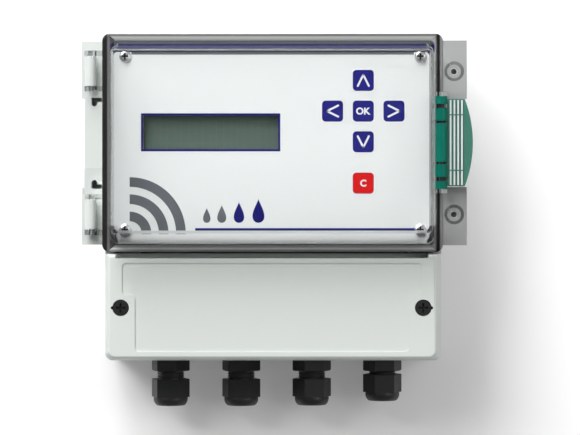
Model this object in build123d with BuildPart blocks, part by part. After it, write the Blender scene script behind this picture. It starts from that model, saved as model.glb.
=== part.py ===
from build123d import *
import os

# Leak detection controller in a wall-mounted plastic enclosure. A grey base holds the electronics
# compartment, under a hinged clear lid with a green latch lever, and the terminal compartment below
# it, under a screwed cover, with a row of cable glands in its floor.
# Millimetres. X is to the right, Y towards the wall and Z up. The wall is the plane Y = 0, the origin
# is the middle of the back face, and a depth is a distance in front of the wall.

# Base housing
body_width = 227.0
body_corner = 5.0
wall = 4.0
back_wall = 3.5
upper_height = 145.6
lower_height = 73.6
upper_depth = 61.5
lower_depth = 44.0
inner_corner = 4.0
pilot_clearance = 0.05

# Seals
gasket_width = 2.8
groove_depth = 1.5
gasket_proud = 0.3

# Hinge on the left side
hinge_offset = 8.1
hinge_depth = 62.0
barrel_radius = 3.7
barrel_length = 19.5
barrel_inset = 15.3
leaf_reach = 14.5
leaf_inset = 4.8
leaf_length = 38.0
strip_reach = 12.5
flange_thickness = 3.0
flange_drop = 5.0
hinge_pin_radius = 1.5
hinge_play = 0.4
running_clearance = 0.06
press_clearance = 0.02
slot_width = 4.0
slot_length = 5.8
slot_foot_length = 7.0
slot_foot_width = 2.9
slot_edge_gap = 0.5
socket_depth = 14.0
socket_wall = 1.5

# Wall fixing
wall_hole_spacing = 190.0
wall_hole_radius = 2.6
wall_hole_rise = 11.0
keyhole_head_radius = 4.6
keyhole_neck_width = 4.6
keyhole_travel = 9.0
keyhole_lip = 3.0
keyhole_pocket = 5.0
keyhole_wall = 2.5
keyhole_drop = 20.0

# Clear lid
lid_gap = 0.5
rim_thickness = 5.0
rim_side = 5.5
rim_end = 4.5
rim_edge = 1.5
dome_depth = 37.0
dome_side_lean = 3.5
dome_end_lean = 8.6
dome_corner = 4.0
dome_edge = 1.5
lid_wall = 2.2
ledge_reach = 15.9
ledge_inset = 4.6
ledge_thickness = 3.0
ledge_step = 1.2
ledge_step_gap = 2.3
skirt_thickness = 2.0
skirt_drop = 5.0
lug_radius = 4.0
lug_outer_thickness = 3.5
lug_inner_thickness = 3.2
tab_length = 17.5
tab_thickness = 2.0
lock_offset = 7.5
lock_inset = 25.1
lock_boss_radius = 4.6
lock_boss_length = 12.0
lock_hole_radius = 1.9
lock_hole_depth = 9.0
lock_cup_radius = 6.6
lock_cup_floor = 1.0
lock_screw_radius = 2.3

# Latch lever
latch_half_length = 30.7
latch_barrel_radius = 4.0
latch_offset = 1.5
latch_clearance = 0.4
latch_pin_radius = 1.2
latch_ear_thickness = 2.5
latch_bulge = 5.4
lever_thickness = 3.0
lever_reach = 15.6
lever_skirt = 2.2
lever_end_gap = 1.7
lever_rib_count = 4
lever_rib_pitch = 2.5
lever_rib_width = 1.1
lever_rib_height = 0.8
lever_rib_edge = 1.9
lever_rib_end = 0.8
barrel_groove_depth = 2.2
barrel_groove_offsets = (24.2, 13.6)
barrel_groove_widths = (2.7, 1.6)
catch_reach = 11.1
catch_nose_radius = 2.5
catch_half_length = 26.0
catch_drop = 7.0
catch_clearance = 0.4
lip_thickness = 1.8

# Front panel, its overlay and its keys
panel_play = 0.3
panel_thickness = 2.0
panel_corner = inner_corner - panel_play
panel_drop = 2.1
overlay_thickness = 0.3
panel_screw_inset = 10.7
panel_boss_radius = 4.5
panel_screw_radius = 1.5
panel_screw_length = 16.0
panel_screw_head_radius = 3.9
panel_screw_head_height = 2.3
panel_screw_head_round = 1.9
panel_drive_length = 4.6
panel_drive_width = 1.1
panel_drive_depth = 1.5
screw_hole_play = 0.4
window_inset = 22.7
window_height = 22.6
window_drop = 61.4
window_key_gap = 29.5
key_size = 13.6
key_corner = 2.2
key_pitch = 20.5
key_group_inset = 48.7
key_group_drop = 47.2
clear_key_drop = 48.1
key_gap = 0.25
key_proud = 0.25
key_thickness = 2.1

# Display and control board
board_thickness = 1.6
control_board_side = 16.3
control_board_end = 9.8
control_board_drop = 10.9
switch_size = 12.0
switch_height = 4.0
plunger_radius = 3.4
plunger_play = 0.1
plunger_seat = 1.4
switch_floor = 0.8
spacer_radius = 3.0
spacer_inset = 6.0
board_screw_head_radius = 2.8
board_screw_head_height = 1.8
display_header_height = 2.5
display_board_margin_x = 5.0
display_board_margin_z = 8.0
bezel_margin = 3.6
bezel_wall = 1.0
bezel_lip = 0.6
display_gap = 0.3
backlight_height = 2.0
glass_thickness = 2.2

# Power board and its parts
power_board_depth = 12.0
power_board_side = 17.5
power_board_end = 23.8
power_post_radius = 3.5
power_post_inset = 10.0
board_slot_gap = 0.5
terminal_row_drop = 34.0
terminal_block_count = 4
terminal_ways = 5
terminal_block_gap = 8.5
terminal_block_height = 12.0
terminal_block_depth = 16.0
terminal_wire_hole = 4.6
terminal_screw_radius = 2.2
transformer_size = (44.0, 37.0, 30.0)
relay_size = (12.7, 29.0, 15.7)
relay_count = 3
relay_pitch = 18.0
fuse_length = 26.0
fuse_radius = 4.0
capacitor_radius = 8.0
capacitor_height = 22.0
header_size = (28.0, 9.0, 9.0)
ribbon_width = 24.0
ribbon_thickness = 1.2
buzzer_radius = 6.0
buzzer_height = 8.0

# Terminal cover
cover_gap = 1.2
cover_depth = 40.0
cover_lean = 5.3
cover_floor_lean = 4.1
cover_edge = 2.0
cover_wall = 3.0
cover_top_wall = 7.0
cover_notch_width = 206.0
cover_notch_height = 2.5
cover_notch_depth = 30.0
cover_seat_gap = 0.3
cover_screw_inset = 14.0
cover_screw_rise = 37.4
cover_screw_head_radius = 5.2
cover_screw_head_height = 3.6
cover_screw_radius = 2.0
cover_screw_length = 50.0
cover_screw_play = 0.3
cover_boss_wall = 1.6
drive_slot_length = 6.4
drive_slot_width = 1.3
drive_slot_depth = 1.6
field_depth = 0.8
field_side = 9.5
field_top = 5.5
field_foot = 4.3
field_step = 8.5
field_step_drop = 24.0
field_corner = 3.0
mark_radius = 1.0
mark_inset = 3.2
mark_depth = 1.5

# Cable glands
gland_count = 4
gland_pitch = 48.3
gland_row_x = 1.8
gland_depth = 24.0
gland_thread_radius = 10.0
gland_flats = 23.0
gland_collar = 7.5
gland_washer_thickness = 1.0
gland_washer_radius = 11.4
gland_neck_radius = 9.3
gland_neck_length = 9.0
gland_thread_depth = 0.7
gland_ridges = 5
gland_inner_length = 12.5
gland_bore = 7.2
gland_insert_radius = 8.3
gland_insert_length = 11.5
gland_insert_seat = 8.6
cable_radius = 5.0
gland_nut_length = 12.2
gland_dome_length = 5.7
gland_mouth_radius = 6.8
gland_nut_play = 0.15
gland_fit = 0.1
gland_nut_gaps = (5.5, 5.5, 5.2, 2.2)
gland_turns = (-10.0, -10.0, 9.0, 6.0)
locknut_flats = 26.0
locknut_thickness = 5.0

# Places worked out from the sizes above
body_height = upper_height + lower_height
half_width = body_width / 2
weld = (wall - gasket_width) / 4
top = body_height / 2
bottom = -top
lid_mid = top - upper_height / 2
divider_bottom = top - upper_height
divider_top = divider_bottom + wall
lid_back = upper_depth + lid_gap
rim_front = lid_back + rim_thickness
lid_front = rim_front + dome_depth
hinge_x = -half_width - hinge_offset
hinge_reach = upper_height / 2
barrel_outer = hinge_reach - barrel_inset
barrel_inner = barrel_outer - barrel_length
flange_front = hinge_depth - flange_drop
flange_back = flange_front - flange_thickness
leaf_outer = hinge_reach - leaf_inset
leaf_inner = leaf_outer - leaf_length
lug_outer_end = barrel_outer + hinge_play + lug_outer_thickness
lug_inner_end = barrel_inner - hinge_play - lug_inner_thickness
lock_x = half_width + lock_offset
lock_rise = upper_height / 2 - lock_inset
ledge_edge = half_width + ledge_reach
ledge_half = upper_height / 2 - ledge_inset
latch_x = half_width - latch_offset
latch_depth = rim_front + latch_barrel_radius + latch_clearance
ear_inner = latch_half_length + latch_clearance
ear_outer = ear_inner + latch_ear_thickness
lever_edge = latch_x + lever_reach
lever_half = latch_half_length - lever_end_gap
catch_depth = hinge_depth - catch_drop
catch_tip = half_width + catch_reach
panel_width = body_width - 2 * (wall + panel_play)
panel_height = upper_height - 2 * (wall + panel_play)
panel_back = upper_depth - panel_drop
panel_front = panel_back + panel_thickness
overlay_front = panel_front + overlay_thickness
panel_screw_dx = panel_width - 2 * panel_screw_inset
panel_screw_dz = panel_height - 2 * panel_screw_inset
key_group_x = panel_width / 2 - key_group_inset
key_group_z = panel_height / 2 - key_group_drop
window_left = window_inset - panel_width / 2
window_width = key_group_x - key_pitch - key_size / 2 - window_key_gap - window_left
window_x = window_left + window_width / 2
window_z = panel_height / 2 - window_drop
key_front = overlay_front + key_proud
key_back = key_front - key_thickness
control_board_width = panel_width - 2 * control_board_side
control_board_height = panel_height - 2 * control_board_end
control_board_front = panel_back - control_board_drop
control_board_back = control_board_front - board_thickness
switch_top = control_board_front + switch_height
power_board_front = power_board_depth + board_thickness
power_board_width = body_width - 2 * (wall + power_board_side)
power_board_upper_edge = top - wall - power_board_end
power_board_lower_edge = divider_bottom - terminal_row_drop
power_post_dx = power_board_width - 2 * power_post_inset
power_post_low = divider_top + power_post_inset
power_post_high = power_board_upper_edge - power_post_inset
cover_top = divider_bottom - cover_gap
cover_height = cover_top - bottom
cover_back = lower_depth + cover_seat_gap
cover_front = lower_depth + cover_depth
cover_front_width = body_width - 2 * cover_lean
cover_front_bottom = bottom + cover_floor_lean
cover_screw_x = half_width - cover_screw_inset
cover_screw_z = bottom + cover_screw_rise
wall_hole_z = bottom + wall_hole_rise
keyhole_z = top - keyhole_drop
gland_x = [gland_row_x + (i - (gland_count - 1) / 2) * gland_pitch for i in range(gland_count)]
gland_collar_top = bottom - gland_washer_thickness
gland_collar_bottom = gland_collar_top - gland_collar
gland_neck_bottom = gland_collar_bottom - gland_neck_length
ridge_step = gland_neck_length / gland_ridges
key_places = {
    "up": (key_group_x, key_group_z + key_pitch),
    "ok": (key_group_x, key_group_z),
    "down": (key_group_x, key_group_z - key_pitch),
    "left": (key_group_x - key_pitch, key_group_z),
    "right": (key_group_x + key_pitch, key_group_z),
    "clear": (key_group_x, key_group_z - clear_key_drop),
}
parts = {}


def at(depth):
    """The plane that faces the viewer at a distance in front of the wall."""
    return Plane.XZ.offset(depth)


def level(height):
    """The level plane at a height, where a depth is minus Y."""
    return Plane.XY.offset(height)


def keep(part, name):
    """Labels a finished piece and keeps it for writing."""
    part.label = name
    parts[name] = part


# Base housing: one moulding with both compartments, the hinge leaves, the lock bosses and the catch
with BuildPart() as base:
    with BuildSketch(at(0)):
        RectangleRounded(body_width, body_height, body_corner)
    extrude(amount=lower_depth)
    with BuildSketch(at(0)):
        with Locations((0, lid_mid)):
            RectangleRounded(body_width, upper_height, body_corner)
    extrude(amount=upper_depth)
    with BuildSketch(at(back_wall)):
        with Locations((0, lid_mid)):
            RectangleRounded(body_width - 2 * wall, upper_height - 2 * wall, inner_corner)
    extrude(amount=upper_depth - back_wall, mode=Mode.SUBTRACT)
    with BuildSketch(at(back_wall)):
        with Locations((0, (bottom + wall + divider_bottom) / 2)):
            RectangleRounded(body_width - 2 * wall, divider_bottom - bottom - wall, inner_corner)
    extrude(amount=lower_depth - back_wall, mode=Mode.SUBTRACT)

    # Grooves for the two seals, along the middle of the rims
    with BuildSketch(at(upper_depth)):
        with Locations((0, lid_mid)):
            RectangleRounded(
                body_width - wall + gasket_width,
                upper_height - wall + gasket_width,
                body_corner - (wall - gasket_width) / 2,
            )
            RectangleRounded(
                body_width - wall - gasket_width,
                upper_height - wall - gasket_width,
                body_corner - (wall + gasket_width) / 2,
                mode=Mode.SUBTRACT,
            )
    extrude(amount=-groove_depth, mode=Mode.SUBTRACT)
    with BuildSketch(at(lower_depth)):
        with Locations((0, (bottom + cover_top) / 2)):
            RectangleRounded(
                body_width - wall + gasket_width,
                cover_height - wall + gasket_width,
                body_corner - (wall - gasket_width) / 2,
            )
            RectangleRounded(
                body_width - wall - gasket_width,
                cover_height - wall - gasket_width,
                body_corner - (wall + gasket_width) / 2,
                mode=Mode.SUBTRACT,
            )
        with Locations((0, cover_top)):
            Rectangle(body_width, 2 * wall, mode=Mode.SUBTRACT)
    extrude(amount=-groove_depth, mode=Mode.SUBTRACT)

    # Bosses under the front panel's four corners, with their pilot holes
    with BuildSketch(at(back_wall)):
        with Locations((0, lid_mid)):
            with GridLocations(panel_screw_dx, panel_screw_dz, 2, 2):
                Circle(panel_boss_radius)
    extrude(amount=panel_back - back_wall)
    with BuildSketch(at(panel_back)):
        with Locations((0, lid_mid)):
            with GridLocations(panel_screw_dx, panel_screw_dz, 2, 2):
                Circle(panel_screw_radius + pilot_clearance)
    extrude(amount=-panel_screw_length, mode=Mode.SUBTRACT)

    # Posts for the power board, and its slot through the divider
    with BuildSketch(at(back_wall)):
        with Locations((0, (power_post_low + power_post_high) / 2)):
            with GridLocations(power_post_dx, power_post_high - power_post_low, 2, 2):
                Circle(power_post_radius)
    extrude(amount=power_board_depth - back_wall)
    with BuildSketch(level(divider_bottom)):
        with Locations((0, -power_board_depth - board_thickness / 2)):
            Rectangle(power_board_width + 2 * board_slot_gap, board_thickness + 2 * board_slot_gap)
    extrude(amount=wall, mode=Mode.SUBTRACT)

    # Posts for the terminal cover's two screws
    with BuildSketch(at(back_wall)):
        with Locations((-cover_screw_x, cover_screw_z), (cover_screw_x, cover_screw_z)):
            Circle(cover_screw_radius + 2 * cover_boss_wall)
    extrude(amount=lower_depth - back_wall)
    with BuildSketch(at(lower_depth)):
        with Locations((-cover_screw_x, cover_screw_z), (cover_screw_x, cover_screw_z)):
            Circle(cover_screw_radius + pilot_clearance)
    extrude(amount=-(lower_depth - 2 * back_wall), mode=Mode.SUBTRACT)

    # Cable entries in the floor, and screw holes in the terminal compartment's back
    with BuildSketch(level(bottom)):
        with Locations(*[(x, -gland_depth) for x in gland_x]):
            Circle(gland_thread_radius + gland_fit)
    extrude(amount=wall, mode=Mode.SUBTRACT)
    with BuildSketch(at(0)):
        with Locations((0, wall_hole_z)):
            with GridLocations(wall_hole_spacing, 1, 2, 1):
                Circle(wall_hole_radius)
    extrude(amount=back_wall, mode=Mode.SUBTRACT)

    # Keyhole hanger in the back: a closed block inside, so that the compartment stays sealed
    with BuildSketch(at(0)):
        with Locations((0, keyhole_z + keyhole_travel / 2)):
            Rectangle(
                2 * (keyhole_head_radius + keyhole_wall),
                keyhole_travel + 2 * (keyhole_head_radius + keyhole_wall),
            )
    extrude(amount=keyhole_lip + keyhole_pocket + keyhole_wall)
    with BuildSketch(at(0)):
        with Locations((0, keyhole_z)):
            Circle(keyhole_head_radius)
        with Locations((0, keyhole_z + keyhole_travel / 2)):
            SlotCenterToCenter(keyhole_travel, keyhole_neck_width, rotation=90)
    extrude(amount=keyhole_lip, mode=Mode.SUBTRACT)
    with BuildSketch(at(keyhole_lip)):
        with Locations((0, keyhole_z + keyhole_travel / 2)):
            SlotCenterToCenter(keyhole_travel, 2 * keyhole_head_radius, rotation=90)
    extrude(amount=keyhole_pocket, mode=Mode.SUBTRACT)

    # Hinge flange on the left: two wide leaves and the narrower strip between them
    with BuildSketch(at(flange_back)):
        with Locations((-half_width - (strip_reach - weld) / 2, lid_mid)):
            Rectangle(strip_reach + weld, 2 * leaf_inner)
        for side in (1, -1):
            leaf_mid = lid_mid + side * (leaf_inner + leaf_outer) / 2
            with Locations((-half_width - (leaf_reach - weld) / 2, leaf_mid)):
                Rectangle(leaf_reach + weld, leaf_length)
    extrude(amount=flange_thickness)
    for side in (1, -1):
        with BuildSketch(level(lid_mid + side * (barrel_inner + barrel_length / 2))):
            with Locations((hinge_x, -hinge_depth)):
                Circle(barrel_radius)
            with Locations((hinge_x, -(hinge_depth + flange_front) / 2)):
                Rectangle(barrel_radius, hinge_depth - flange_front)
        extrude(amount=barrel_length / 2, both=True)
        with BuildSketch(level(lid_mid + side * (barrel_inner + barrel_length / 2))):
            with Locations((hinge_x, -hinge_depth)):
                Circle(hinge_pin_radius + running_clearance)
        extrude(amount=barrel_length, both=True, mode=Mode.SUBTRACT)
        # Closed socket behind the strip, beside each leaf, and the angled slot that opens into it
        slot_end = lid_mid + side * (leaf_inner + slot_edge_gap)
        slot_x = hinge_x + slot_width / 2
        socket_reach = hinge_offset + socket_wall + weld
        with BuildSketch(at(flange_back)):
            with Locations((-half_width + weld - socket_reach / 2, slot_end - side * slot_length / 2)):
                Rectangle(socket_reach, slot_length + 2 * socket_wall)
        extrude(amount=-socket_depth)
        with BuildSketch(at(flange_front)):
            with Locations((slot_x, slot_end - side * slot_length / 2)):
                SlotOverall(slot_length, slot_width, rotation=90)
            with Locations(
                (slot_x - slot_width / 2 + slot_foot_length / 2, slot_end - side * slot_foot_width / 2)
            ):
                RectangleRounded(slot_foot_length, slot_foot_width, slot_foot_width / 4)
        extrude(amount=-(flange_thickness + socket_depth - socket_wall), mode=Mode.SUBTRACT)

    # Lock bosses on the right side, each with a blind screw hole, and the rail that the latch closes over
    for side in (1, -1):
        with BuildSketch(at(upper_depth - lock_boss_length)):
            with Locations((lock_x, lid_mid + side * lock_rise)):
                Circle(lock_boss_radius)
            with Locations((lock_x - (lock_offset + weld) / 2, lid_mid + side * lock_rise)):
                Rectangle(lock_offset + weld, lock_boss_radius)
        extrude(amount=lock_boss_length)
        with BuildSketch(at(upper_depth)):
            with Locations((lock_x, lid_mid + side * lock_rise)):
                Circle(lock_hole_radius)
        extrude(amount=-lock_hole_depth, mode=Mode.SUBTRACT)
    with BuildSketch(level(lid_mid)):
        with Locations((catch_tip - catch_nose_radius, -catch_depth)):
            Circle(catch_nose_radius)
        with Locations((half_width + (catch_reach - catch_nose_radius - weld) / 2, -catch_depth)):
            Rectangle(catch_reach - catch_nose_radius + weld, 2 * catch_nose_radius)
    extrude(amount=catch_half_length, both=True)
keep(base.part, "base_housing")


# Lid seal: a rubber ring in the groove of the base's rim
with BuildPart() as lid_gasket:
    with BuildSketch(at(upper_depth - groove_depth)):
        with Locations((0, lid_mid)):
            RectangleRounded(
                body_width - wall + gasket_width,
                upper_height - wall + gasket_width,
                body_corner - (wall - gasket_width) / 2,
            )
            RectangleRounded(
                body_width - wall - gasket_width,
                upper_height - wall - gasket_width,
                body_corner - (wall + gasket_width) / 2,
                mode=Mode.SUBTRACT,
            )
    extrude(amount=groove_depth + gasket_proud)
keep(lid_gasket.part, "lid_gasket")


# Terminal cover seal: a U of rubber round the sides and floor of the terminal compartment
with BuildPart() as cover_gasket:
    with BuildSketch(at(lower_depth - groove_depth)):
        with Locations((0, (bottom + cover_top) / 2)):
            RectangleRounded(
                body_width - wall + gasket_width,
                cover_height - wall + gasket_width,
                body_corner - (wall - gasket_width) / 2,
            )
            RectangleRounded(
                body_width - wall - gasket_width,
                cover_height - wall - gasket_width,
                body_corner - (wall + gasket_width) / 2,
                mode=Mode.SUBTRACT,
            )
        with Locations((0, cover_top)):
            Rectangle(body_width, 2 * wall, mode=Mode.SUBTRACT)
    extrude(amount=groove_depth + cover_seat_gap)
keep(cover_gasket.part, "cover_gasket")


# Clear lid: a leaning dome on a flat rim, with hinge lugs on the left and a skirted ledge on the right
dome_width = body_width - 2 * rim_side
dome_height = upper_height - 2 * rim_end
hollow_lean = (dome_depth - lid_wall) / dome_depth
with BuildPart() as lid:
    with BuildSketch(at(lid_back)):
        with Locations((0, lid_mid)):
            RectangleRounded(body_width, upper_height, body_corner)
    extrude(amount=rim_thickness)
    fillet(lid.edges().group_by(Axis.Y)[0], rim_edge)
    with BuildSketch(at(rim_front)):
        with Locations((0, lid_mid)):
            RectangleRounded(dome_width, dome_height, dome_corner)
    with BuildSketch(at(lid_front)):
        with Locations((0, lid_mid)):
            RectangleRounded(dome_width - 2 * dome_side_lean, dome_height - 2 * dome_end_lean, dome_corner)
    loft()
    fillet(lid.edges().group_by(Axis.Y)[0], dome_edge)

    # Ledge on the right, with a skirt round its three free sides and a gap for the latch lever
    with BuildSketch(at(lid_back - skirt_drop)):
        with Locations((half_width + ledge_reach / 2, lid_mid)):
            Rectangle(ledge_reach, 2 * ledge_half)
    extrude(amount=skirt_drop + ledge_thickness)
    with BuildSketch(at(lid_back - skirt_drop)):
        with Locations((half_width + (ledge_reach - skirt_thickness) / 2, lid_mid)):
            Rectangle(ledge_reach - skirt_thickness, 2 * (ledge_half - skirt_thickness))
    extrude(amount=skirt_drop, mode=Mode.SUBTRACT)
    with BuildSketch(at(lid_back - skirt_drop)):
        with Locations((half_width + ledge_reach / 2 + skirt_thickness, lid_mid)):
            Rectangle(ledge_reach, 2 * (lever_half + latch_clearance))
    extrude(amount=skirt_drop + rim_thickness, mode=Mode.SUBTRACT)
    with BuildSketch(at(lid_back + ledge_thickness)):
        with Locations((half_width + ledge_reach / 2 + skirt_thickness, lid_mid)):
            Rectangle(ledge_reach, 2 * (latch_half_length + ledge_step_gap))
    extrude(amount=-ledge_step, mode=Mode.SUBTRACT)
    for side in (1, -1):
        with BuildSketch(at(lid_back + lock_cup_floor)):
            with Locations((lock_x, lid_mid + side * lock_rise)):
                Circle(lock_boss_radius)
        with BuildSketch(at(lid_back + ledge_thickness)):
            with Locations((lock_x, lid_mid + side * lock_rise)):
                Circle(lock_cup_radius)
        loft(mode=Mode.SUBTRACT)
        with BuildSketch(at(lid_back)):
            with Locations((lock_x, lid_mid + side * lock_rise)):
                Circle(lock_screw_radius)
        extrude(amount=ledge_thickness, mode=Mode.SUBTRACT)

    # Hinge lugs: one above and one below each barrel
    for side in (1, -1):
        lugs = (
            (barrel_outer + hinge_play, lug_outer_thickness),
            (lug_inner_end, lug_inner_thickness),
        )
        for start, thickness in lugs:
            with BuildSketch(level(lid_mid + side * (start + thickness / 2))):
                with Locations((hinge_x, -hinge_depth)):
                    Circle(lug_radius)
                with Locations((hinge_x + (hinge_offset + rim_side / 2) / 2, -hinge_depth - lug_radius / 2)):
                    Rectangle(hinge_offset + rim_side / 2, lug_radius)
                with Locations((hinge_x, -hinge_depth)):
                    Circle(hinge_pin_radius + press_clearance, mode=Mode.SUBTRACT)
            extrude(amount=thickness / 2, both=True)
    # Flat tab from the lower hinge's inner lug over the slot in the strip
    with BuildSketch(at(lid_back)):
        tab_mid = lid_mid - lug_inner_end + tab_length / 2
        with Locations((-half_width - (strip_reach - rim_side / 2) / 2, tab_mid)):
            Rectangle(strip_reach + rim_side / 2, tab_length)
    extrude(amount=tab_thickness)

    # Ears that carry the latch pin
    for side in (1, -1):
        with BuildSketch(level(lid_mid + side * (ear_inner + ear_outer) / 2)):
            with Locations((latch_x, -latch_depth)):
                Circle(latch_barrel_radius)
            with Locations((latch_x, -(latch_depth + lid_back) / 2)):
                Rectangle(2 * latch_barrel_radius, latch_depth - lid_back)
            with Locations((latch_x, -latch_depth)):
                Circle(latch_pin_radius + press_clearance, mode=Mode.SUBTRACT)
        extrude(amount=latch_ear_thickness / 2, both=True)

    # Hollow of the lid
    with BuildSketch(at(lid_back)):
        with Locations((0, lid_mid)):
            RectangleRounded(
                dome_width - 2 * lid_wall,
                dome_height - 2 * lid_wall,
                dome_corner - lid_wall / 2,
            )
    extrude(amount=rim_thickness, mode=Mode.SUBTRACT)
    with BuildSketch(at(rim_front)):
        with Locations((0, lid_mid)):
            RectangleRounded(
                dome_width - 2 * lid_wall,
                dome_height - 2 * lid_wall,
                dome_corner - lid_wall / 2,
            )
    with BuildSketch(at(lid_front - lid_wall)):
        with Locations((0, lid_mid)):
            RectangleRounded(
                dome_width - 2 * (lid_wall + hollow_lean * dome_side_lean),
                dome_height - 2 * (lid_wall + hollow_lean * dome_end_lean),
                dome_corner - lid_wall / 2,
            )
    loft(mode=Mode.SUBTRACT)
keep(lid.part, "lid")


# Hinge pins: a steel pin through each barrel, pressed into the lid's lugs
with BuildPart() as hinge_pins:
    for side in (1, -1):
        with BuildSketch(level(lid_mid + side * (lug_inner_end + lug_outer_end) / 2)):
            with Locations((hinge_x, -hinge_depth)):
                Circle(hinge_pin_radius)
        extrude(amount=(lug_outer_end - lug_inner_end) / 2, both=True)
keep(hinge_pins.part, "hinge_pins")


# Latch lever: a grooved barrel on the pin, a ribbed plate, and a bowed skirt with a lip behind the rail
with BuildPart() as latch:
    with BuildSketch(at(latch_depth - lever_thickness)):
        with BuildLine():
            Polyline(
                (lever_edge, lid_mid - lever_half),
                (latch_x, lid_mid - lever_half),
                (latch_x, lid_mid + lever_half),
                (lever_edge, lid_mid + lever_half),
            )
            ThreePointArc(
                (lever_edge, lid_mid + lever_half),
                (lever_edge + latch_bulge, lid_mid),
                (lever_edge, lid_mid - lever_half),
            )
        make_face()
    extrude(amount=lever_thickness)
    with BuildSketch(at(catch_depth - catch_nose_radius - catch_clearance - lip_thickness)):
        with BuildLine():
            ThreePointArc(
                (lever_edge, lid_mid + lever_half),
                (lever_edge + latch_bulge, lid_mid),
                (lever_edge, lid_mid - lever_half),
            )
            Line((lever_edge, lid_mid - lever_half), (lever_edge - lever_skirt, lid_mid - lever_half))
            ThreePointArc(
                (lever_edge - lever_skirt, lid_mid - lever_half),
                (lever_edge + latch_bulge - lever_skirt, lid_mid),
                (lever_edge - lever_skirt, lid_mid + lever_half),
            )
            Line((lever_edge - lever_skirt, lid_mid + lever_half), (lever_edge, lid_mid + lever_half))
        make_face()
    extrude(until=Until.NEXT)
    with BuildSketch(at(catch_depth - catch_nose_radius - catch_clearance - lip_thickness)):
        with Locations(((catch_tip + catch_clearance + lever_edge) / 2, lid_mid)):
            Rectangle(lever_edge - catch_tip - catch_clearance, 2 * catch_half_length)
    extrude(amount=lip_thickness)
    with BuildSketch(level(lid_mid)):
        with Locations((latch_x, -latch_depth)):
            Circle(latch_barrel_radius)
    extrude(amount=latch_half_length, both=True)
    for offset_z, width in zip(barrel_groove_offsets, barrel_groove_widths):
        for side in (1, -1):
            with BuildSketch(level(lid_mid + side * offset_z)):
                with Locations((latch_x, -latch_depth)):
                    Circle(2 * latch_barrel_radius)
                    Circle(latch_barrel_radius - barrel_groove_depth, mode=Mode.SUBTRACT)
                with Locations((latch_x + 2 * latch_barrel_radius, -latch_depth)):
                    Rectangle(2 * latch_barrel_radius, 4 * latch_barrel_radius, mode=Mode.SUBTRACT)
            extrude(amount=width / 2, both=True, mode=Mode.SUBTRACT)
    with BuildSketch(at(latch_depth)):
        with Locations((lever_edge - lever_rib_edge - (lever_rib_count - 1) * lever_rib_pitch / 2, lid_mid)):
            with GridLocations(lever_rib_pitch, 1, lever_rib_count, 1):
                Rectangle(lever_rib_width, 2 * (lever_half - lever_rib_end))
    extrude(amount=lever_rib_height)
    with BuildSketch(level(lid_mid)):
        with Locations((latch_x, -latch_depth)):
            Circle(latch_pin_radius + running_clearance)
    extrude(amount=latch_half_length, both=True, mode=Mode.SUBTRACT)
keep(latch.part, "latch_lever")


# Latch pin: a steel pin from ear to ear
with BuildPart() as latch_pin:
    with BuildSketch(level(lid_mid)):
        with Locations((latch_x, -latch_depth)):
            Circle(latch_pin_radius)
    extrude(amount=ear_outer, both=True)
keep(latch_pin.part, "latch_pin")


def panel_openings(play):
    """Cuts the display window and the six key openings in a sheet of the front panel."""
    with Locations((window_x, lid_mid + window_z)):
        Rectangle(window_width, window_height, mode=Mode.SUBTRACT)
    for x, z in key_places.values():
        with Locations((x, lid_mid + z)):
            RectangleRounded(key_size + 2 * play, key_size + 2 * play, key_corner + play, mode=Mode.SUBTRACT)


# Front panel: the stiff plate on the four bosses, and the printed film bonded to its face
with BuildPart() as panel:
    with BuildSketch(at(panel_back)):
        with Locations((0, lid_mid)):
            RectangleRounded(panel_width, panel_height, panel_corner)
            with GridLocations(panel_screw_dx, panel_screw_dz, 2, 2):
                Circle(panel_screw_radius + screw_hole_play, mode=Mode.SUBTRACT)
        panel_openings(key_gap)
    extrude(amount=panel_thickness)
keep(panel.part, "front_panel")

with BuildPart() as overlay:
    with BuildSketch(at(panel_front)):
        with Locations((0, lid_mid)):
            RectangleRounded(panel_width, panel_height, panel_corner)
            with GridLocations(panel_screw_dx, panel_screw_dz, 2, 2):
                Circle(panel_screw_radius + screw_hole_play, mode=Mode.SUBTRACT)
        panel_openings(key_gap)
    extrude(amount=overlay_thickness)
keep(overlay.part, "panel_overlay")


# Panel screws: pan heads with a cross recess, through the panel into its bosses
with BuildPart() as panel_screws:
    with BuildSketch(at(overlay_front)):
        with Locations((0, lid_mid)):
            with GridLocations(panel_screw_dx, panel_screw_dz, 2, 2):
                Circle(panel_screw_head_radius)
    extrude(amount=panel_screw_head_height)
    fillet(panel_screws.edges().group_by(Axis.Y)[0], panel_screw_head_round)
    with BuildSketch(at(overlay_front)):
        with Locations((0, lid_mid)):
            with GridLocations(panel_screw_dx, panel_screw_dz, 2, 2):
                Circle(panel_screw_radius)
    extrude(amount=-(overlay_front - panel_back + panel_screw_length / 2))
    with BuildSketch(at(overlay_front + panel_screw_head_height)):
        with Locations((0, lid_mid)):
            with GridLocations(panel_screw_dx, panel_screw_dz, 2, 2):
                Rectangle(panel_drive_length, panel_drive_width)
                Rectangle(panel_drive_width, panel_drive_length)
    extrude(amount=-panel_drive_depth, mode=Mode.SUBTRACT)
keep(panel_screws.part, "panel_screws")


# Keys: a pad in each opening of the panel, on the plunger of the switch behind it
for key, (x, z) in key_places.items():
    with BuildPart() as pad:
        with BuildSketch(at(key_back)):
            with Locations((x, lid_mid + z)):
                RectangleRounded(key_size, key_size, key_corner)
        extrude(amount=key_thickness)
    keep(pad.part, f"key_{key}")
    with BuildPart() as plunger:
        with BuildSketch(at(control_board_front + plunger_seat)):
            with Locations((x, lid_mid + z)):
                Circle(plunger_radius)
        extrude(amount=key_back - control_board_front - plunger_seat)
    keep(plunger.part, f"plunger_{key}")

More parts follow.
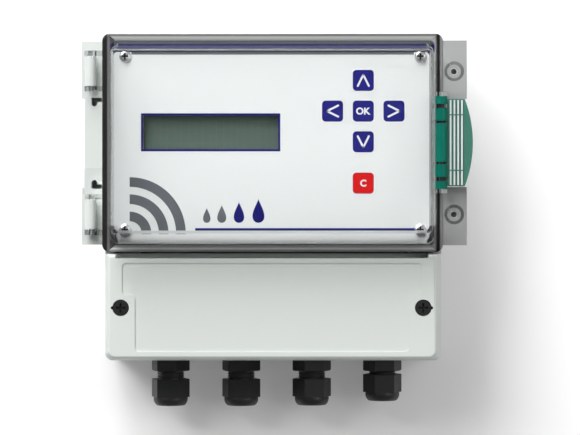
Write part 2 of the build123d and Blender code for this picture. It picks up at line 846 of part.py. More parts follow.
with BuildPart() as switches:
    with BuildSketch(at(control_board_front)):
        with Locations(*[(x, lid_mid + z) for x, z in key_places.values()]):
            Rectangle(switch_size, switch_size)
    extrude(amount=switch_height)
    with BuildSketch(at(switch_top)):
        with Locations(*[(x, lid_mid + z) for x, z in key_places.values()]):
            Circle(plunger_radius + plunger_play)
    extrude(amount=-(switch_height - switch_floor), mode=Mode.SUBTRACT)
keep(switches.part, "key_switches")


# Control board, hung from the panel on spacers, with its screws
with BuildPart() as control_board:
    with BuildSketch(at(control_board_back)):
        with Locations((0, lid_mid)):
            Rectangle(control_board_width, control_board_height)
    extrude(amount=board_thickness)
keep(control_board.part, "control_board")

spacer_dx = control_board_width - 2 * spacer_inset
spacer_dz = control_board_height - 2 * spacer_inset
with BuildPart() as spacers:
    with BuildSketch(at(control_board_front)):
        with Locations((0, lid_mid)):
            with GridLocations(spacer_dx, spacer_dz, 2, 2):
                Circle(spacer_radius)
    extrude(amount=control_board_drop)
keep(spacers.part, "board_spacers")

with BuildPart() as board_screws:
    with BuildSketch(at(control_board_back - board_screw_head_height)):
        with Locations((0, lid_mid)):
            with GridLocations(spacer_dx, spacer_dz, 2, 2):
                Circle(board_screw_head_radius)
    extrude(amount=board_screw_head_height)
keep(board_screws.part, "board_screws")

with BuildPart() as buzzer:
    with BuildSketch(at(control_board_back)):
        with Locations((key_group_x, lid_mid - control_board_height / 2 + 2 * buzzer_radius)):
            Circle(buzzer_radius)
    extrude(amount=-buzzer_height)
keep(buzzer.part, "alarm_buzzer")


# Display: header strip, board, backlight, glass and the pressed frame that holds them
display_board_back = control_board_front + display_header_height
display_board_front = display_board_back + board_thickness
bezel_front = panel_back - display_gap
with BuildPart() as display_header:
    with BuildSketch(at(control_board_front)):
        with Locations((window_x, lid_mid + window_z + window_height / 2 + bezel_margin)):
            Rectangle(window_width / 2, display_header_height)
    extrude(amount=display_header_height)
keep(display_header.part, "display_header")

with BuildPart() as display_board:
    with BuildSketch(at(display_board_back)):
        with Locations((window_x, lid_mid + window_z)):
            Rectangle(window_width + 2 * display_board_margin_x, window_height + 2 * display_board_margin_z)
    extrude(amount=board_thickness)
keep(display_board.part, "display_board")

with BuildPart() as bezel:
    with BuildSketch(at(display_board_front)):
        with Locations((window_x, lid_mid + window_z)):
            Rectangle(window_width + 2 * bezel_margin, window_height + 2 * bezel_margin)
    extrude(amount=bezel_front - display_board_front)
    with BuildSketch(at(display_board_front)):
        with Locations((window_x, lid_mid + window_z)):
            Rectangle(
                window_width + 2 * (bezel_margin - bezel_wall),
                window_height + 2 * (bezel_margin - bezel_wall),
            )
    extrude(amount=bezel_front - display_board_front - bezel_lip, mode=Mode.SUBTRACT)
    with BuildSketch(at(display_board_front)):
        with Locations((window_x, lid_mid + window_z)):
            Rectangle(window_width, window_height)
    extrude(amount=bezel_front - display_board_front, mode=Mode.SUBTRACT)
keep(bezel.part, "display_bezel")

with BuildPart() as backlight:
    with BuildSketch(at(display_board_front)):
        with Locations((window_x, lid_mid + window_z)):
            Rectangle(
                window_width + 2 * (bezel_margin - bezel_wall - display_gap),
                window_height + 2 * (bezel_margin - bezel_wall - display_gap),
            )
    extrude(amount=backlight_height)
keep(backlight.part, "display_backlight")

with BuildPart() as glass:
    with BuildSketch(at(display_board_front + backlight_height)):
        with Locations((window_x, lid_mid + window_z)):
            Rectangle(
                window_width + 2 * (bezel_margin - bezel_wall - display_gap),
                window_height + 2 * (bezel_margin - bezel_wall - display_gap),
            )
    extrude(amount=glass_thickness)
keep(glass.part, "display_glass")


# Power board: runs from the electronics compartment through the divider to the terminals
power_board_height = power_board_upper_edge - power_board_lower_edge
power_board_mid = (power_board_upper_edge + power_board_lower_edge) / 2
with BuildPart() as power_board:
    with BuildSketch(at(power_board_depth)):
        with Locations((0, power_board_mid)):
            Rectangle(power_board_width, power_board_height)
    extrude(amount=board_thickness)
keep(power_board.part, "power_board")

with BuildPart() as power_screws:
    with BuildSketch(at(power_board_front)):
        with Locations((0, (power_post_low + power_post_high) / 2)):
            with GridLocations(power_post_dx, power_post_high - power_post_low, 2, 2):
                Circle(board_screw_head_radius)
    extrude(amount=board_screw_head_height)
keep(power_screws.part, "power_board_screws")

block_step = power_board_width / terminal_block_count
terminal_block_width = block_step - terminal_block_gap
terminal_pitch = terminal_block_width / terminal_ways
terminal_row_z = power_board_lower_edge + terminal_block_height / 2
block_x = [(i - (terminal_block_count - 1) / 2) * block_step for i in range(terminal_block_count)]
way_x = [x + (j - (terminal_ways - 1) / 2) * terminal_pitch for x in block_x for j in range(terminal_ways)]
with BuildPart() as terminal_blocks:
    with BuildSketch(at(power_board_front)):
        with Locations(*[(x, terminal_row_z) for x in block_x]):
            Rectangle(terminal_block_width, terminal_block_height)
    extrude(amount=terminal_block_depth)
    with BuildSketch(level(power_board_lower_edge)):
        with Locations(*[(x, -power_board_front - terminal_block_depth / 3) for x in way_x]):
            Rectangle(terminal_wire_hole, terminal_wire_hole)
    extrude(amount=terminal_block_height * 2 / 3, mode=Mode.SUBTRACT)
    with BuildSketch(at(power_board_front + terminal_block_depth)):
        with Locations(*[(x, terminal_row_z) for x in way_x]):
            Circle(terminal_screw_radius + pilot_clearance)
    extrude(amount=-terminal_block_depth / 3, mode=Mode.SUBTRACT)
keep(terminal_blocks.part, "terminal_blocks")

with BuildPart() as terminal_screws:
    with BuildSketch(at(power_board_front + terminal_block_depth * 2 / 3)):
        with Locations(*[(x, terminal_row_z) for x in way_x]):
            Circle(terminal_screw_radius)
    extrude(amount=terminal_block_depth / 4)
    with BuildSketch(at(power_board_front + terminal_block_depth * 11 / 12)):
        with Locations(*[(x, terminal_row_z) for x in way_x]):
            Rectangle(2 * terminal_screw_radius, terminal_screw_radius / 2)
    extrude(amount=-terminal_screw_radius / 2, mode=Mode.SUBTRACT)
keep(terminal_screws.part, "terminal_screws")

transformer_x, transformer_z, transformer_depth = transformer_size
with BuildPart() as transformer:
    with BuildSketch(at(power_board_front)):
        with Locations((-power_board_width / 4, lid_mid)):
            Rectangle(transformer_x, transformer_z)
    extrude(amount=transformer_depth)
    fillet(transformer.edges().filter_by(Axis.Y), wall / 2)
keep(transformer.part, "transformer")

relay_x, relay_z, relay_depth = relay_size
with BuildPart() as relays:
    with BuildSketch(at(power_board_front)):
        with Locations((power_board_width / 6, divider_top + relay_z)):
            with GridLocations(relay_pitch, 1, relay_count, 1):
                Rectangle(relay_x, relay_z)
    extrude(amount=relay_depth)
keep(relays.part, "alarm_relays")

with BuildPart() as fuse:
    with BuildSketch(Plane.YZ.offset(-power_board_width / 4 - fuse_length / 2)):
        with Locations((-power_board_front - fuse_radius, divider_top + 2 * fuse_radius)):
            Circle(fuse_radius)
            Rectangle(2 * fuse_radius, fuse_radius)
    extrude(amount=fuse_length)
keep(fuse.part, "mains_fuse")

with BuildPart() as capacitor:
    with BuildSketch(at(power_board_front)):
        with Locations((0, lid_mid)):
            Circle(capacitor_radius)
    extrude(amount=capacitor_height)
keep(capacitor.part, "smoothing_capacitor")


# Ribbon cable between the boards: a straight flat lead between two headers
header_x, header_z, header_height = header_size
ribbon_place = (power_board_width / 6, lid_mid + header_z)
with BuildPart() as headers:
    for depth, direction in ((power_board_front, 1), (control_board_back, -1)):
        with BuildSketch(at(depth)):
            with Locations(ribbon_place):
                Rectangle(header_x, header_z)
        extrude(amount=direction * header_height)
keep(headers.part, "ribbon_headers")

with BuildPart() as ribbon:
    with BuildSketch(at(power_board_front + header_height)):
        with Locations(ribbon_place):
            Rectangle(ribbon_width, ribbon_thickness)
    extrude(amount=control_board_back - power_board_front - 2 * header_height)
keep(ribbon.part, "ribbon_cable")


# Terminal cover: a leaning shell with a notched top edge, a sunk field and two screw wells
field_wide = cover_front_width / 2 - field_side
field_narrow = field_wide - field_step
field_top_z = cover_top - field_top
field_step_z = field_top_z - field_step_drop + field_corner
field_low_z = cover_front_bottom + field_foot
with BuildPart() as cover:
    with BuildSketch(at(cover_back)):
        with Locations((0, (bottom + cover_top + body_corner) / 2)):
            RectangleRounded(body_width, cover_height + body_corner, body_corner)
    with BuildSketch(at(cover_front)):
        with Locations((0, (cover_front_bottom + cover_top + body_corner) / 2)):
            RectangleRounded(cover_front_width, cover_top + body_corner - cover_front_bottom, body_corner)
    loft()
    with BuildSketch(at(cover_back)):
        with Locations((0, cover_top + body_corner)):
            Rectangle(body_width, 2 * body_corner)
    extrude(amount=cover_depth, mode=Mode.SUBTRACT)
    fillet(cover.edges().group_by(Axis.Y)[0], cover_edge)
    with BuildSketch(at(cover_back)):
        with Locations((0, (bottom + cover_wall + cover_top - cover_top_wall) / 2)):
            RectangleRounded(
                body_width - 2 * cover_wall,
                cover_height - cover_wall - cover_top_wall,
                inner_corner,
            )
    with BuildSketch(at(cover_front - cover_wall)):
        with Locations((0, (cover_front_bottom + cover_wall + cover_top - cover_top_wall) / 2)):
            RectangleRounded(
                cover_front_width - 2 * cover_wall,
                cover_top - cover_top_wall - cover_front_bottom - cover_wall,
                inner_corner,
            )
    loft(mode=Mode.SUBTRACT)
    with BuildSketch(at(cover_front)):
        with Locations((0, cover_top)):
            Rectangle(cover_notch_width, 2 * cover_notch_height)
    extrude(amount=-cover_notch_depth, mode=Mode.SUBTRACT)

    # Sunk field, stepped in round the two screws
    with BuildSketch(at(cover_front)) as field:
        with BuildLine():
            Polyline(
                (-field_wide, field_top_z),
                (field_wide, field_top_z),
                (field_wide, field_step_z),
                (field_narrow, field_step_z),
                (field_narrow, field_low_z),
                (-field_narrow, field_low_z),
                (-field_narrow, field_step_z),
                (-field_wide, field_step_z),
                close=True,
            )
        make_face()
        fillet(field.vertices(), field_corner)
    extrude(amount=-field_depth, mode=Mode.SUBTRACT)

    # Screw bosses inside, with a well for each head, and a small dimple beside each well
    with BuildSketch(at(cover_back)):
        with GridLocations(2 * cover_screw_x, 1, 2, 1):
            with Locations((0, cover_screw_z)):
                Circle(cover_screw_head_radius + cover_screw_play + cover_boss_wall)
    extrude(amount=cover_front - cover_wall - cover_back)
    with BuildSketch(at(cover_front)):
        with GridLocations(2 * cover_screw_x, 1, 2, 1):
            with Locations((0, cover_screw_z)):
                Circle(cover_screw_head_radius + cover_screw_play)
    extrude(amount=-cover_screw_head_height, mode=Mode.SUBTRACT)
    with BuildSketch(at(cover_back)):
        with GridLocations(2 * cover_screw_x, 1, 2, 1):
            with Locations((0, cover_screw_z)):
                Circle(cover_screw_radius + cover_screw_play)
    extrude(amount=cover_front - cover_back, mode=Mode.SUBTRACT)
    with BuildSketch(at(cover_front)):
        with GridLocations(cover_front_width - 2 * mark_inset, 1, 2, 1):
            with Locations((0, cover_screw_z)):
                Circle(mark_radius)
    extrude(amount=-mark_depth, mode=Mode.SUBTRACT)
keep(cover.part, "terminal_cover")


# Cover screws: black heads with a cross recess, flush with the cover's face
with BuildPart() as cover_screws:
    with BuildSketch(at(cover_front - cover_screw_head_height)):
        with GridLocations(2 * cover_screw_x, 1, 2, 1):
            with Locations((0, cover_screw_z)):
                Circle(cover_screw_head_radius)
    extrude(amount=cover_screw_head_height)
    chamfer(cover_screws.edges().group_by(Axis.Y)[0], cover_screw_play)
    with BuildSketch(at(cover_front - cover_screw_head_height)):
        with GridLocations(2 * cover_screw_x, 1, 2, 1):
            with Locations((0, cover_screw_z)):
                Circle(cover_screw_radius)
    extrude(amount=-cover_screw_length)
    with BuildSketch(at(cover_front)):
        with GridLocations(2 * cover_screw_x, 1, 2, 1):
            with Locations((0, cover_screw_z)):
                Rectangle(drive_slot_length, drive_slot_width)
                Rectangle(drive_slot_width, drive_slot_length)
    extrude(amount=-drive_slot_depth, mode=Mode.SUBTRACT)
keep(cover_screws.part, "cover_screws")


# Cable glands: each a hexagonal body through the floor, a rubber insert and a domed nut
for number, (x, nut_gap, turn) in enumerate(zip(gland_x, gland_nut_gaps, gland_turns), start=1):
    axis_plane = Plane(origin=(x, -gland_depth, 0), x_dir=(1, 0, 0), z_dir=(0, -1, 0))
    collar_plane = Plane(origin=(x, -gland_depth, gland_collar_bottom), x_dir=(1, 0, 0), z_dir=(0, 0, 1))
    with BuildPart() as gland_body:
        with BuildSketch(collar_plane):
            RegularPolygon(gland_flats / 2, 6, major_radius=False, rotation=turn)
        extrude(amount=gland_collar)
        chamfer(gland_body.edges().group_by(Axis.Z)[0], gland_thread_depth)
        with BuildSketch(axis_plane):
            with BuildLine():
                thread = [(gland_neck_radius, gland_collar_bottom)]
                for ridge in range(gland_ridges):
                    ridge_top = gland_collar_bottom - ridge * ridge_step
                    thread.append((gland_neck_radius - gland_thread_depth, ridge_top - ridge_step / 2))
                    thread.append((gland_neck_radius, ridge_top - ridge_step))
                Polyline(
                    (gland_bore, gland_collar_top + wall + gland_inner_length),
                    (gland_thread_radius, gland_collar_top + wall + gland_inner_length),
                    (gland_thread_radius, gland_collar_bottom),
                    *thread,
                    (gland_bore, gland_neck_bottom),
                    close=True,
                )
            make_face()
        revolve(axis=Axis((x, -gland_depth, 0), (0, 0, 1)))
        with BuildSketch(level(gland_neck_bottom)):
            with Locations((x, -gland_depth)):
                Circle(gland_bore)
        extrude(amount=gland_neck_length + gland_collar, mode=Mode.SUBTRACT)
        with BuildSketch(level(gland_neck_bottom)):
            with Locations((x, -gland_depth)):
                Circle(gland_insert_radius + gland_fit)
        extrude(amount=gland_insert_seat, mode=Mode.SUBTRACT)
    keep(gland_body.part, f"gland_body_{number}")

    with BuildPart() as insert:
        with BuildSketch(level(gland_neck_bottom + gland_insert_seat - gland_insert_length)):
            with Locations((x, -gland_depth)):
                Circle(gland_insert_radius)
                Circle(cable_radius, mode=Mode.SUBTRACT)
        extrude(amount=gland_insert_length)
    keep(insert.part, f"gland_insert_{number}")

    nut_top = gland_collar_bottom - nut_gap
    nut_hex_bottom = nut_top - gland_nut_length
    nut_bottom = nut_hex_bottom - gland_dome_length
    with BuildPart() as nut:
        with BuildSketch(Plane(origin=(x, -gland_depth, nut_hex_bottom), x_dir=(1, 0, 0), z_dir=(0, 0, 1))):
            RegularPolygon(gland_flats / 2, 6, major_radius=False, rotation=turn)
        extrude(amount=gland_nut_length)
        with BuildSketch(axis_plane):
            with BuildLine():
                Polyline(
                    (gland_mouth_radius + gland_dome_length / 2, nut_bottom),
                    (gland_mouth_radius, nut_bottom),
                    (gland_mouth_radius, nut_hex_bottom),
                    (gland_flats / 2, nut_hex_bottom),
                )
                RadiusArc(
                    (gland_flats / 2, nut_hex_bottom),
                    (gland_mouth_radius + gland_dome_length / 2, nut_bottom),
                    gland_dome_length,
                )
            make_face()
        revolve(axis=Axis((x, -gland_depth, 0), (0, 0, 1)))
        with BuildSketch(level(nut_hex_bottom)):
            with Locations((x, -gland_depth)):
                Circle(gland_neck_radius + gland_nut_play)
        extrude(amount=gland_nut_length, mode=Mode.SUBTRACT)
    keep(nut.part, f"gland_nut_{number}")

with BuildPart() as washers:
    with BuildSketch(level(gland_collar_top)):
        with Locations(*[(x, -gland_depth) for x in gland_x]):
            Circle(gland_washer_radius)
            Circle(gland_thread_radius + gland_fit, mode=Mode.SUBTRACT)
    extrude(amount=gland_washer_thickness)
keep(washers.part, "gland_washers")

with BuildPart() as locknuts:
    with BuildSketch(level(bottom + wall)):
        with Locations(*[(x, -gland_depth) for x in gland_x]):
            RegularPolygon(locknut_flats / 2, 6, major_radius=False)
            Circle(gland_thread_radius + gland_fit, mode=Mode.SUBTRACT)
    extrude(amount=locknut_thickness)
keep(locknuts.part, "gland_locknuts")

os.makedirs("parts", exist_ok=True)
for name, part in parts.items():
    export_step(part, f"parts/{name}.step")
    print(f"{name}: {len(part.solids())} solids, {part.volume:.0f} mm3")
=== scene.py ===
import bmesh
import bpy
import numpy as np
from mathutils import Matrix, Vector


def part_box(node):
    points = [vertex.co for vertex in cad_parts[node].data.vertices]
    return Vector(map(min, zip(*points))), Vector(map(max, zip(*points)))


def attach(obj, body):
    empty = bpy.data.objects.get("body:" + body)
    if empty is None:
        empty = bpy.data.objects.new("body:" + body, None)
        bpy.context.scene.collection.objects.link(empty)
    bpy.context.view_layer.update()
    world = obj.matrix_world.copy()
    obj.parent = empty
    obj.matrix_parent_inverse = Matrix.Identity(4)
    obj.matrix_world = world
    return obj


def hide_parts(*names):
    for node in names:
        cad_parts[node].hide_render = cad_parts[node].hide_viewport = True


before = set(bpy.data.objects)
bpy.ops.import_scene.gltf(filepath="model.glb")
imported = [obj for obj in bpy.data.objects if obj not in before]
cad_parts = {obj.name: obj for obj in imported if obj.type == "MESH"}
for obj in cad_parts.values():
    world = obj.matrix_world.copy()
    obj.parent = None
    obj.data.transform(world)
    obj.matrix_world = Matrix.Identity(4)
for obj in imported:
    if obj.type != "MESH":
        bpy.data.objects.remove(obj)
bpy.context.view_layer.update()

# Studio. A white wall that the controller hangs on, a large soft lamp at the left, one overhead and a
# weak fill at the right. The wall is matt paint, and a view from behind passes through it.
wall_gap, wall_half, wall_low, wall_high = 0.0004, 3, -2, 2.5
wall_paint, wall_glow = (0.9, 0.9, 0.9, 1), 0.09
studio_white = bpy.data.materials.new("studio_white")
studio_white.use_nodes = True
tree = studio_white.node_tree
tree.nodes.clear()
paint = tree.nodes.new("ShaderNodeBsdfDiffuse")
paint.inputs["Color"].default_value = wall_paint
path = tree.nodes.new("ShaderNodeLightPath")
lift = tree.nodes.new("ShaderNodeMath")
lift.operation = "MULTIPLY"
lift.inputs[1].default_value = wall_glow
glow = tree.nodes.new("ShaderNodeEmission")
both = tree.nodes.new("ShaderNodeAddShader")
clear = tree.nodes.new("ShaderNodeBsdfTransparent")
side = tree.nodes.new("ShaderNodeNewGeometry")
pick = tree.nodes.new("ShaderNodeMixShader")
out = tree.nodes.new("ShaderNodeOutputMaterial")
tree.links.new(path.outputs["Is Camera Ray"], lift.inputs[0])
tree.links.new(lift.outputs[0], glow.inputs["Strength"])
tree.links.new(paint.outputs[0], both.inputs[0])
tree.links.new(glow.outputs[0], both.inputs[1])
tree.links.new(side.outputs["Backfacing"], pick.inputs[0])
tree.links.new(both.outputs[0], pick.inputs[1])
tree.links.new(clear.outputs[0], pick.inputs[2])
tree.links.new(pick.outputs[0], out.inputs["Surface"])

wall_outline = (-wall_half, wall_low), (wall_half, wall_low), (wall_half, wall_high), (-wall_half, wall_high)
wall_mesh = bpy.data.meshes.new("wall")
wall_mesh.from_pydata([(x, wall_gap, z) for x, z in wall_outline], [], [(0, 1, 2, 3)])
wall_mesh.materials.append(studio_white)
wall = bpy.data.objects.new("wall", wall_mesh)
bpy.context.scene.collection.objects.link(wall)


def soft_lamp(name, place, size, power):
    """A square area lamp at a place, facing the origin, which is near the controller's middle."""
    lamp = bpy.data.lights.new(name, "AREA")
    lamp.size = size
    lamp.energy = power
    holder = bpy.data.objects.new(name, lamp)
    bpy.context.scene.collection.objects.link(holder)
    holder.location = place
    aim = np.negative(place)
    holder.rotation_euler = (
        np.arctan2(np.hypot(aim[0], aim[1]), -aim[2]),
        0,
        np.arctan2(-aim[0], aim[1]),
    )


soft_lamp("key_lamp", (-2.0, -2.6, 2.2), size=1.9, power=105)
soft_lamp("top_lamp", (-0.55, -1.2, 2.75), size=1.3, power=86)
soft_lamp("fill_lamp", (1.5, -1.6, 0.3), size=1.2, power=10)

# The room round the controller is grey, darker where a surface mirrors it, and white to the camera.
room_grey, room_mirrored, room_seen = (0.27, 0.272, 0.27, 1), (0.14, 0.14, 0.14, 1), (1, 1, 1, 1)
world = bpy.data.worlds.new("studio")
bpy.context.scene.world = world
world.use_nodes = True
tree = world.node_tree
path = tree.nodes.new("ShaderNodeLightPath")
mirrored = tree.nodes.new("ShaderNodeMix")
mirrored.data_type = "RGBA"
mirrored.inputs["A"].default_value = room_grey
mirrored.inputs["B"].default_value = room_mirrored
seen = tree.nodes.new("ShaderNodeMix")
seen.data_type = "RGBA"
seen.inputs["B"].default_value = room_seen
tree.links.new(path.outputs["Is Glossy Ray"], mirrored.inputs["Factor"])
tree.links.new(mirrored.outputs["Result"], seen.inputs["A"])
tree.links.new(path.outputs["Is Camera Ray"], seen.inputs["Factor"])
tree.links.new(seen.outputs["Result"], tree.nodes["Background"].inputs["Color"])

# The camera stands square to the wall, and its picture is shifted by a few pixels.
picture_width, shift_across, shift_up = 580, -30, -12.5
camera = bpy.data.cameras.new("camera")
camera.sensor_fit = "HORIZONTAL"
camera.sensor_width = 36
camera.lens = 134.07
camera.shift_x = shift_across / picture_width
camera.shift_y = shift_up / picture_width
camera.clip_end = 20
holder = bpy.data.objects.new("camera", camera)
holder.location = (0.0316, -1.504, -0.0046)
holder.rotation_euler = (np.pi / 2, 0, 0)
bpy.context.scene.collection.objects.link(holder)
bpy.context.scene.camera = holder
bpy.context.scene.view_settings.view_transform = "Standard"


# Housing and terminal cover. Two mouldings of light grey plastic with a fine spark-eroded grain,
# a little duller where hands and dust have been. The cover is held by its two black screws.


def finish_nodes(material, *names):
    """Gives pieces of the frame their finish."""
    for name in names:
        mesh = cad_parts[name].data
        mesh.materials.clear()
        mesh.materials.append(material)


def node(tree, kind, **sockets):
    """A node with some of its input values set by name."""
    made = tree.nodes.new(kind)
    for key, value in sockets.items():
        made.inputs[key.replace("_", " ")].default_value = value
    return made


# Moulded grain: fine bumps all over and broad, weak changes of shade and gloss.
moulded = bpy.data.node_groups.new("moulded_grain", "ShaderNodeTree")
for label, kind, value in (
    ("Colour", "NodeSocketColor", (0.5, 0.5, 0.5, 1)),
    ("Shade", "NodeSocketFloat", 0.06),
    ("Gloss low", "NodeSocketFloat", 0.4),
    ("Gloss high", "NodeSocketFloat", 0.55),
    ("Grain scale", "NodeSocketFloat", 1800.0),
    ("Grain height", "NodeSocketFloat", 0.00002),
):
    socket = moulded.interface.new_socket(label, in_out="INPUT", socket_type=kind)
    socket.default_value = value
moulded.interface.new_socket("Colour", in_out="OUTPUT", socket_type="NodeSocketColor")
moulded.interface.new_socket("Roughness", in_out="OUTPUT", socket_type="NodeSocketFloat")
moulded.interface.new_socket("Normal", in_out="OUTPUT", socket_type="NodeSocketVector")
given = moulded.nodes.new("NodeGroupInput")
made = moulded.nodes.new("NodeGroupOutput")
place = moulded.nodes.new("ShaderNodeTexCoord")
broad = node(moulded, "ShaderNodeTexNoise", Scale=22.0, Detail=4.0, Roughness=0.6)
fine = node(moulded, "ShaderNodeTexNoise", Detail=3.0, Roughness=0.7)
dark = moulded.nodes.new("ShaderNodeMath")
dark.operation = "MULTIPLY"
keep = moulded.nodes.new("ShaderNodeMath")
keep.operation = "SUBTRACT"
keep.inputs[0].default_value = 1.0
tint = moulded.nodes.new("ShaderNodeVectorMath")
tint.operation = "SCALE"
gloss = moulded.nodes.new("ShaderNodeMapRange")
gloss.inputs["From Min"].default_value = 0.35
gloss.inputs["From Max"].default_value = 0.65
relief = node(moulded, "ShaderNodeBump", Strength=1.0)
moulded.links.new(place.outputs["Object"], broad.inputs["Vector"])
moulded.links.new(place.outputs["Object"], fine.inputs["Vector"])
moulded.links.new(given.outputs["Grain scale"], fine.inputs["Scale"])
moulded.links.new(broad.outputs["Fac"], dark.inputs[0])
moulded.links.new(given.outputs["Shade"], dark.inputs[1])
moulded.links.new(dark.outputs[0], keep.inputs[1])
moulded.links.new(given.outputs["Colour"], tint.inputs[0])
moulded.links.new(keep.outputs[0], tint.inputs["Scale"])
moulded.links.new(tint.outputs[0], made.inputs["Colour"])
moulded.links.new(broad.outputs["Fac"], gloss.inputs["Value"])
moulded.links.new(given.outputs["Gloss low"], gloss.inputs["To Min"])
moulded.links.new(given.outputs["Gloss high"], gloss.inputs["To Max"])
moulded.links.new(gloss.outputs["Result"], made.inputs["Roughness"])
moulded.links.new(fine.outputs["Fac"], relief.inputs["Height"])
moulded.links.new(given.outputs["Grain height"], relief.inputs["Distance"])
moulded.links.new(relief.outputs["Normal"], made.inputs["Normal"])


def moulding(name, colour, shade=0.06, gloss=(0.4, 0.55), grain=(1800.0, 0.00002), shine=0.5):
    """A moulded plastic finish: the grain group on a Principled shader."""
    material = bpy.data.materials.new(name)
    material.use_nodes = True
    tree = material.node_tree
    body = tree.nodes["Principled BSDF"]
    group = tree.nodes.new("ShaderNodeGroup")
    group.node_tree = moulded
    group.inputs["Colour"].default_value = (*colour, 1)
    group.inputs["Shade"].default_value = shade
    group.inputs["Gloss low"].default_value = gloss[0]
    group.inputs["Gloss high"].default_value = gloss[1]
    group.inputs["Grain scale"].default_value = grain[0]
    group.inputs["Grain height"].default_value = grain[1]
    body.inputs["Specular IOR Level"].default_value = shine
    tree.links.new(group.outputs["Colour"], body.inputs["Base Color"])
    tree.links.new(group.outputs["Roughness"], body.inputs["Roughness"])
    tree.links.new(group.outputs["Normal"], body.inputs["Normal"])
    return material


# A face larger than broad_face, or squarer to an axis than square_on, is flat on the real moulding too.
# Points closer than merge_gap are one point.
broad_face, square_on, merge_gap = 0.00008, 0.99999, 0.000001


def smooth_copy(name, material, body, angle=32, upright=0.0):
    """A merged copy of a piece of the frame, smooth where it is curved, which stands for that piece.

    A face whose normal rises less than upright stays flat too, as a nut's flats do.
    """
    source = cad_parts[name]
    work = bmesh.new()
    work.from_mesh(source.data)
    work.transform(source.matrix_world)
    bmesh.ops.remove_doubles(work, verts=work.verts, dist=merge_gap)
    mesh = bpy.data.meshes.new(f"{name}_smooth")
    work.to_mesh(mesh)
    work.free()
    mesh.shade_smooth()
    mesh.set_sharp_from_angle(angle=np.radians(angle))
    normal = np.empty(len(mesh.polygons) * 3, np.float32)
    mesh.polygons.foreach_get("normal", normal)
    area = np.empty(len(mesh.polygons), np.float32)
    mesh.polygons.foreach_get("area", area)
    normal = np.abs(normal.reshape(-1, 3))
    level = (normal.max(1) > square_on) | (area > broad_face) | (normal[:, 2] < upright)
    mesh.polygons.foreach_set("use_smooth", ~level)
    mesh.materials.clear()
    mesh.materials.append(material)
    piece = bpy.data.objects.new(f"{name}_smooth", mesh)
    bpy.context.scene.collection.objects.link(piece)
    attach(piece, body)
    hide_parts(name)
    return piece


def face_middles(piece):
    """The middle of each face of a piece, as columns X, Y and Z."""
    flat = np.empty(len(piece.data.polygons) * 3, np.float32)
    piece.data.polygons.foreach_get("center", flat)
    return flat.reshape(-1, 3).T


def paint_faces(piece, material, chosen):
    """Gives the chosen faces of a piece one more material."""
    number = len(piece.data.materials)
    piece.data.materials.append(material)
    given = np.empty(len(piece.data.polygons), np.int32)
    piece.data.polygons.foreach_get("material_index", given)
    piece.data.polygons.foreach_set("material_index", np.where(chosen, number, given).astype(np.int32))


shell_grain = (1500.0, 0.00003)
housing_grey = moulding("housing_grey", (0.67, 0.705, 0.68), gloss=(0.42, 0.55), grain=shell_grain)
smooth_copy("base_housing", housing_grey, "housing")
terminal_cover = smooth_copy("terminal_cover", housing_grey, "housing")

# A small dimple is sunk beside each cover screw, and its inside is painted black as shade.
dimple_painted_shade = moulding("dimple_painted_shade", (0.01, 0.01, 0.01), shade=0.1, gloss=(0.6, 0.7))
cover_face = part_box("terminal_cover")[0].y
screw_low, screw_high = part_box("cover_screws")
dimple_x, dimple_radius, dimple_lip = 0.105, 0.0011, 0.0002
x, y, z = face_middles(terminal_cover)
from_dimple = np.hypot(np.abs(x) - dimple_x, z - (screw_low.z + screw_high.z) / 2)
paint_faces(terminal_cover, dimple_painted_shade, (from_dimple < dimple_radius) & (y > cover_face + dimple_lip))


# Seals. Black rubber cords that lie in the rims' grooves, under the lid and under the terminal cover.
# They are dull and slightly uneven.
seal_grain = (900.0, 0.00008)
seal_black = moulding("seal_black", (0.012, 0.012, 0.013), shade=0.2, gloss=(0.6, 0.8), grain=seal_grain)
finish_nodes(seal_black, "lid_gasket", "cover_gasket")


# Boards and their parts. Green lacquered boards with black, blue and green mouldings, a brown
# transformer and a grey ribbon, closed in behind the panel and the terminal cover.
key_names = ("up", "ok", "down", "left", "right", "clear")
board_grain = (700.0, 0.00002)
board_green = moulding("board_green", (0.015, 0.13, 0.05), shade=0.3, gloss=(0.3, 0.4), grain=board_grain)
part_black = moulding("part_black", (0.018, 0.018, 0.02), shade=0.2)
relay_blue = moulding("relay_blue", (0.02, 0.06, 0.24), shade=0.1, gloss=(0.3, 0.4))
terminal_green = moulding("terminal_green", (0.02, 0.22, 0.08), shade=0.1, gloss=(0.35, 0.5))
ribbon_grey = moulding("ribbon_grey", (0.3, 0.3, 0.3), shade=0.1, gloss=(0.5, 0.6))
core_brown = moulding("core_brown", (0.2, 0.12, 0.06), shade=0.3, gloss=(0.3, 0.5))
fuse_white = moulding("fuse_white", (0.7, 0.68, 0.62), shade=0.1, gloss=(0.2, 0.3))
finish_nodes(board_green, "control_board", "display_board", "power_board")
finish_nodes(part_black, "key_switches", "alarm_buzzer", "display_header", "display_bezel")
finish_nodes(part_black, "ribbon_headers", "smoothing_capacitor", *[f"plunger_{key}" for key in key_names])
finish_nodes(relay_blue, "alarm_relays")
finish_nodes(terminal_green, "terminal_blocks")
finish_nodes(ribbon_grey, "ribbon_cable")
finish_nodes(core_brown, "transformer")
finish_nodes(fuse_white, "mains_fuse", "display_backlight")


# Front panel and its printed film. A white plate with a satin film on its face, printed in navy
# and grey, and held at its corners by four zinc-plated screws.
film_grain, ink_gloss = (2600.0, 0.000006), (0.35, 0.45)
panel_white = moulding("panel_white", (0.59, 0.61, 0.606), shade=0.03, gloss=(0.4, 0.5), grain=film_grain)
finish_nodes(panel_white, "front_panel", "panel_overlay")
print_navy = moulding(
    "print_navy", (0.004, 0.004, 0.11), shade=0.1, gloss=ink_gloss, grain=film_grain, shine=0.2
)
# The grey ink is also used to paint shade along the panel's top, above the header.
grey_print_and_shade = moulding("grey_print_and_shade", (0.09, 0.1, 0.11), shade=0.08, gloss=ink_gloss, grain=film_grain)

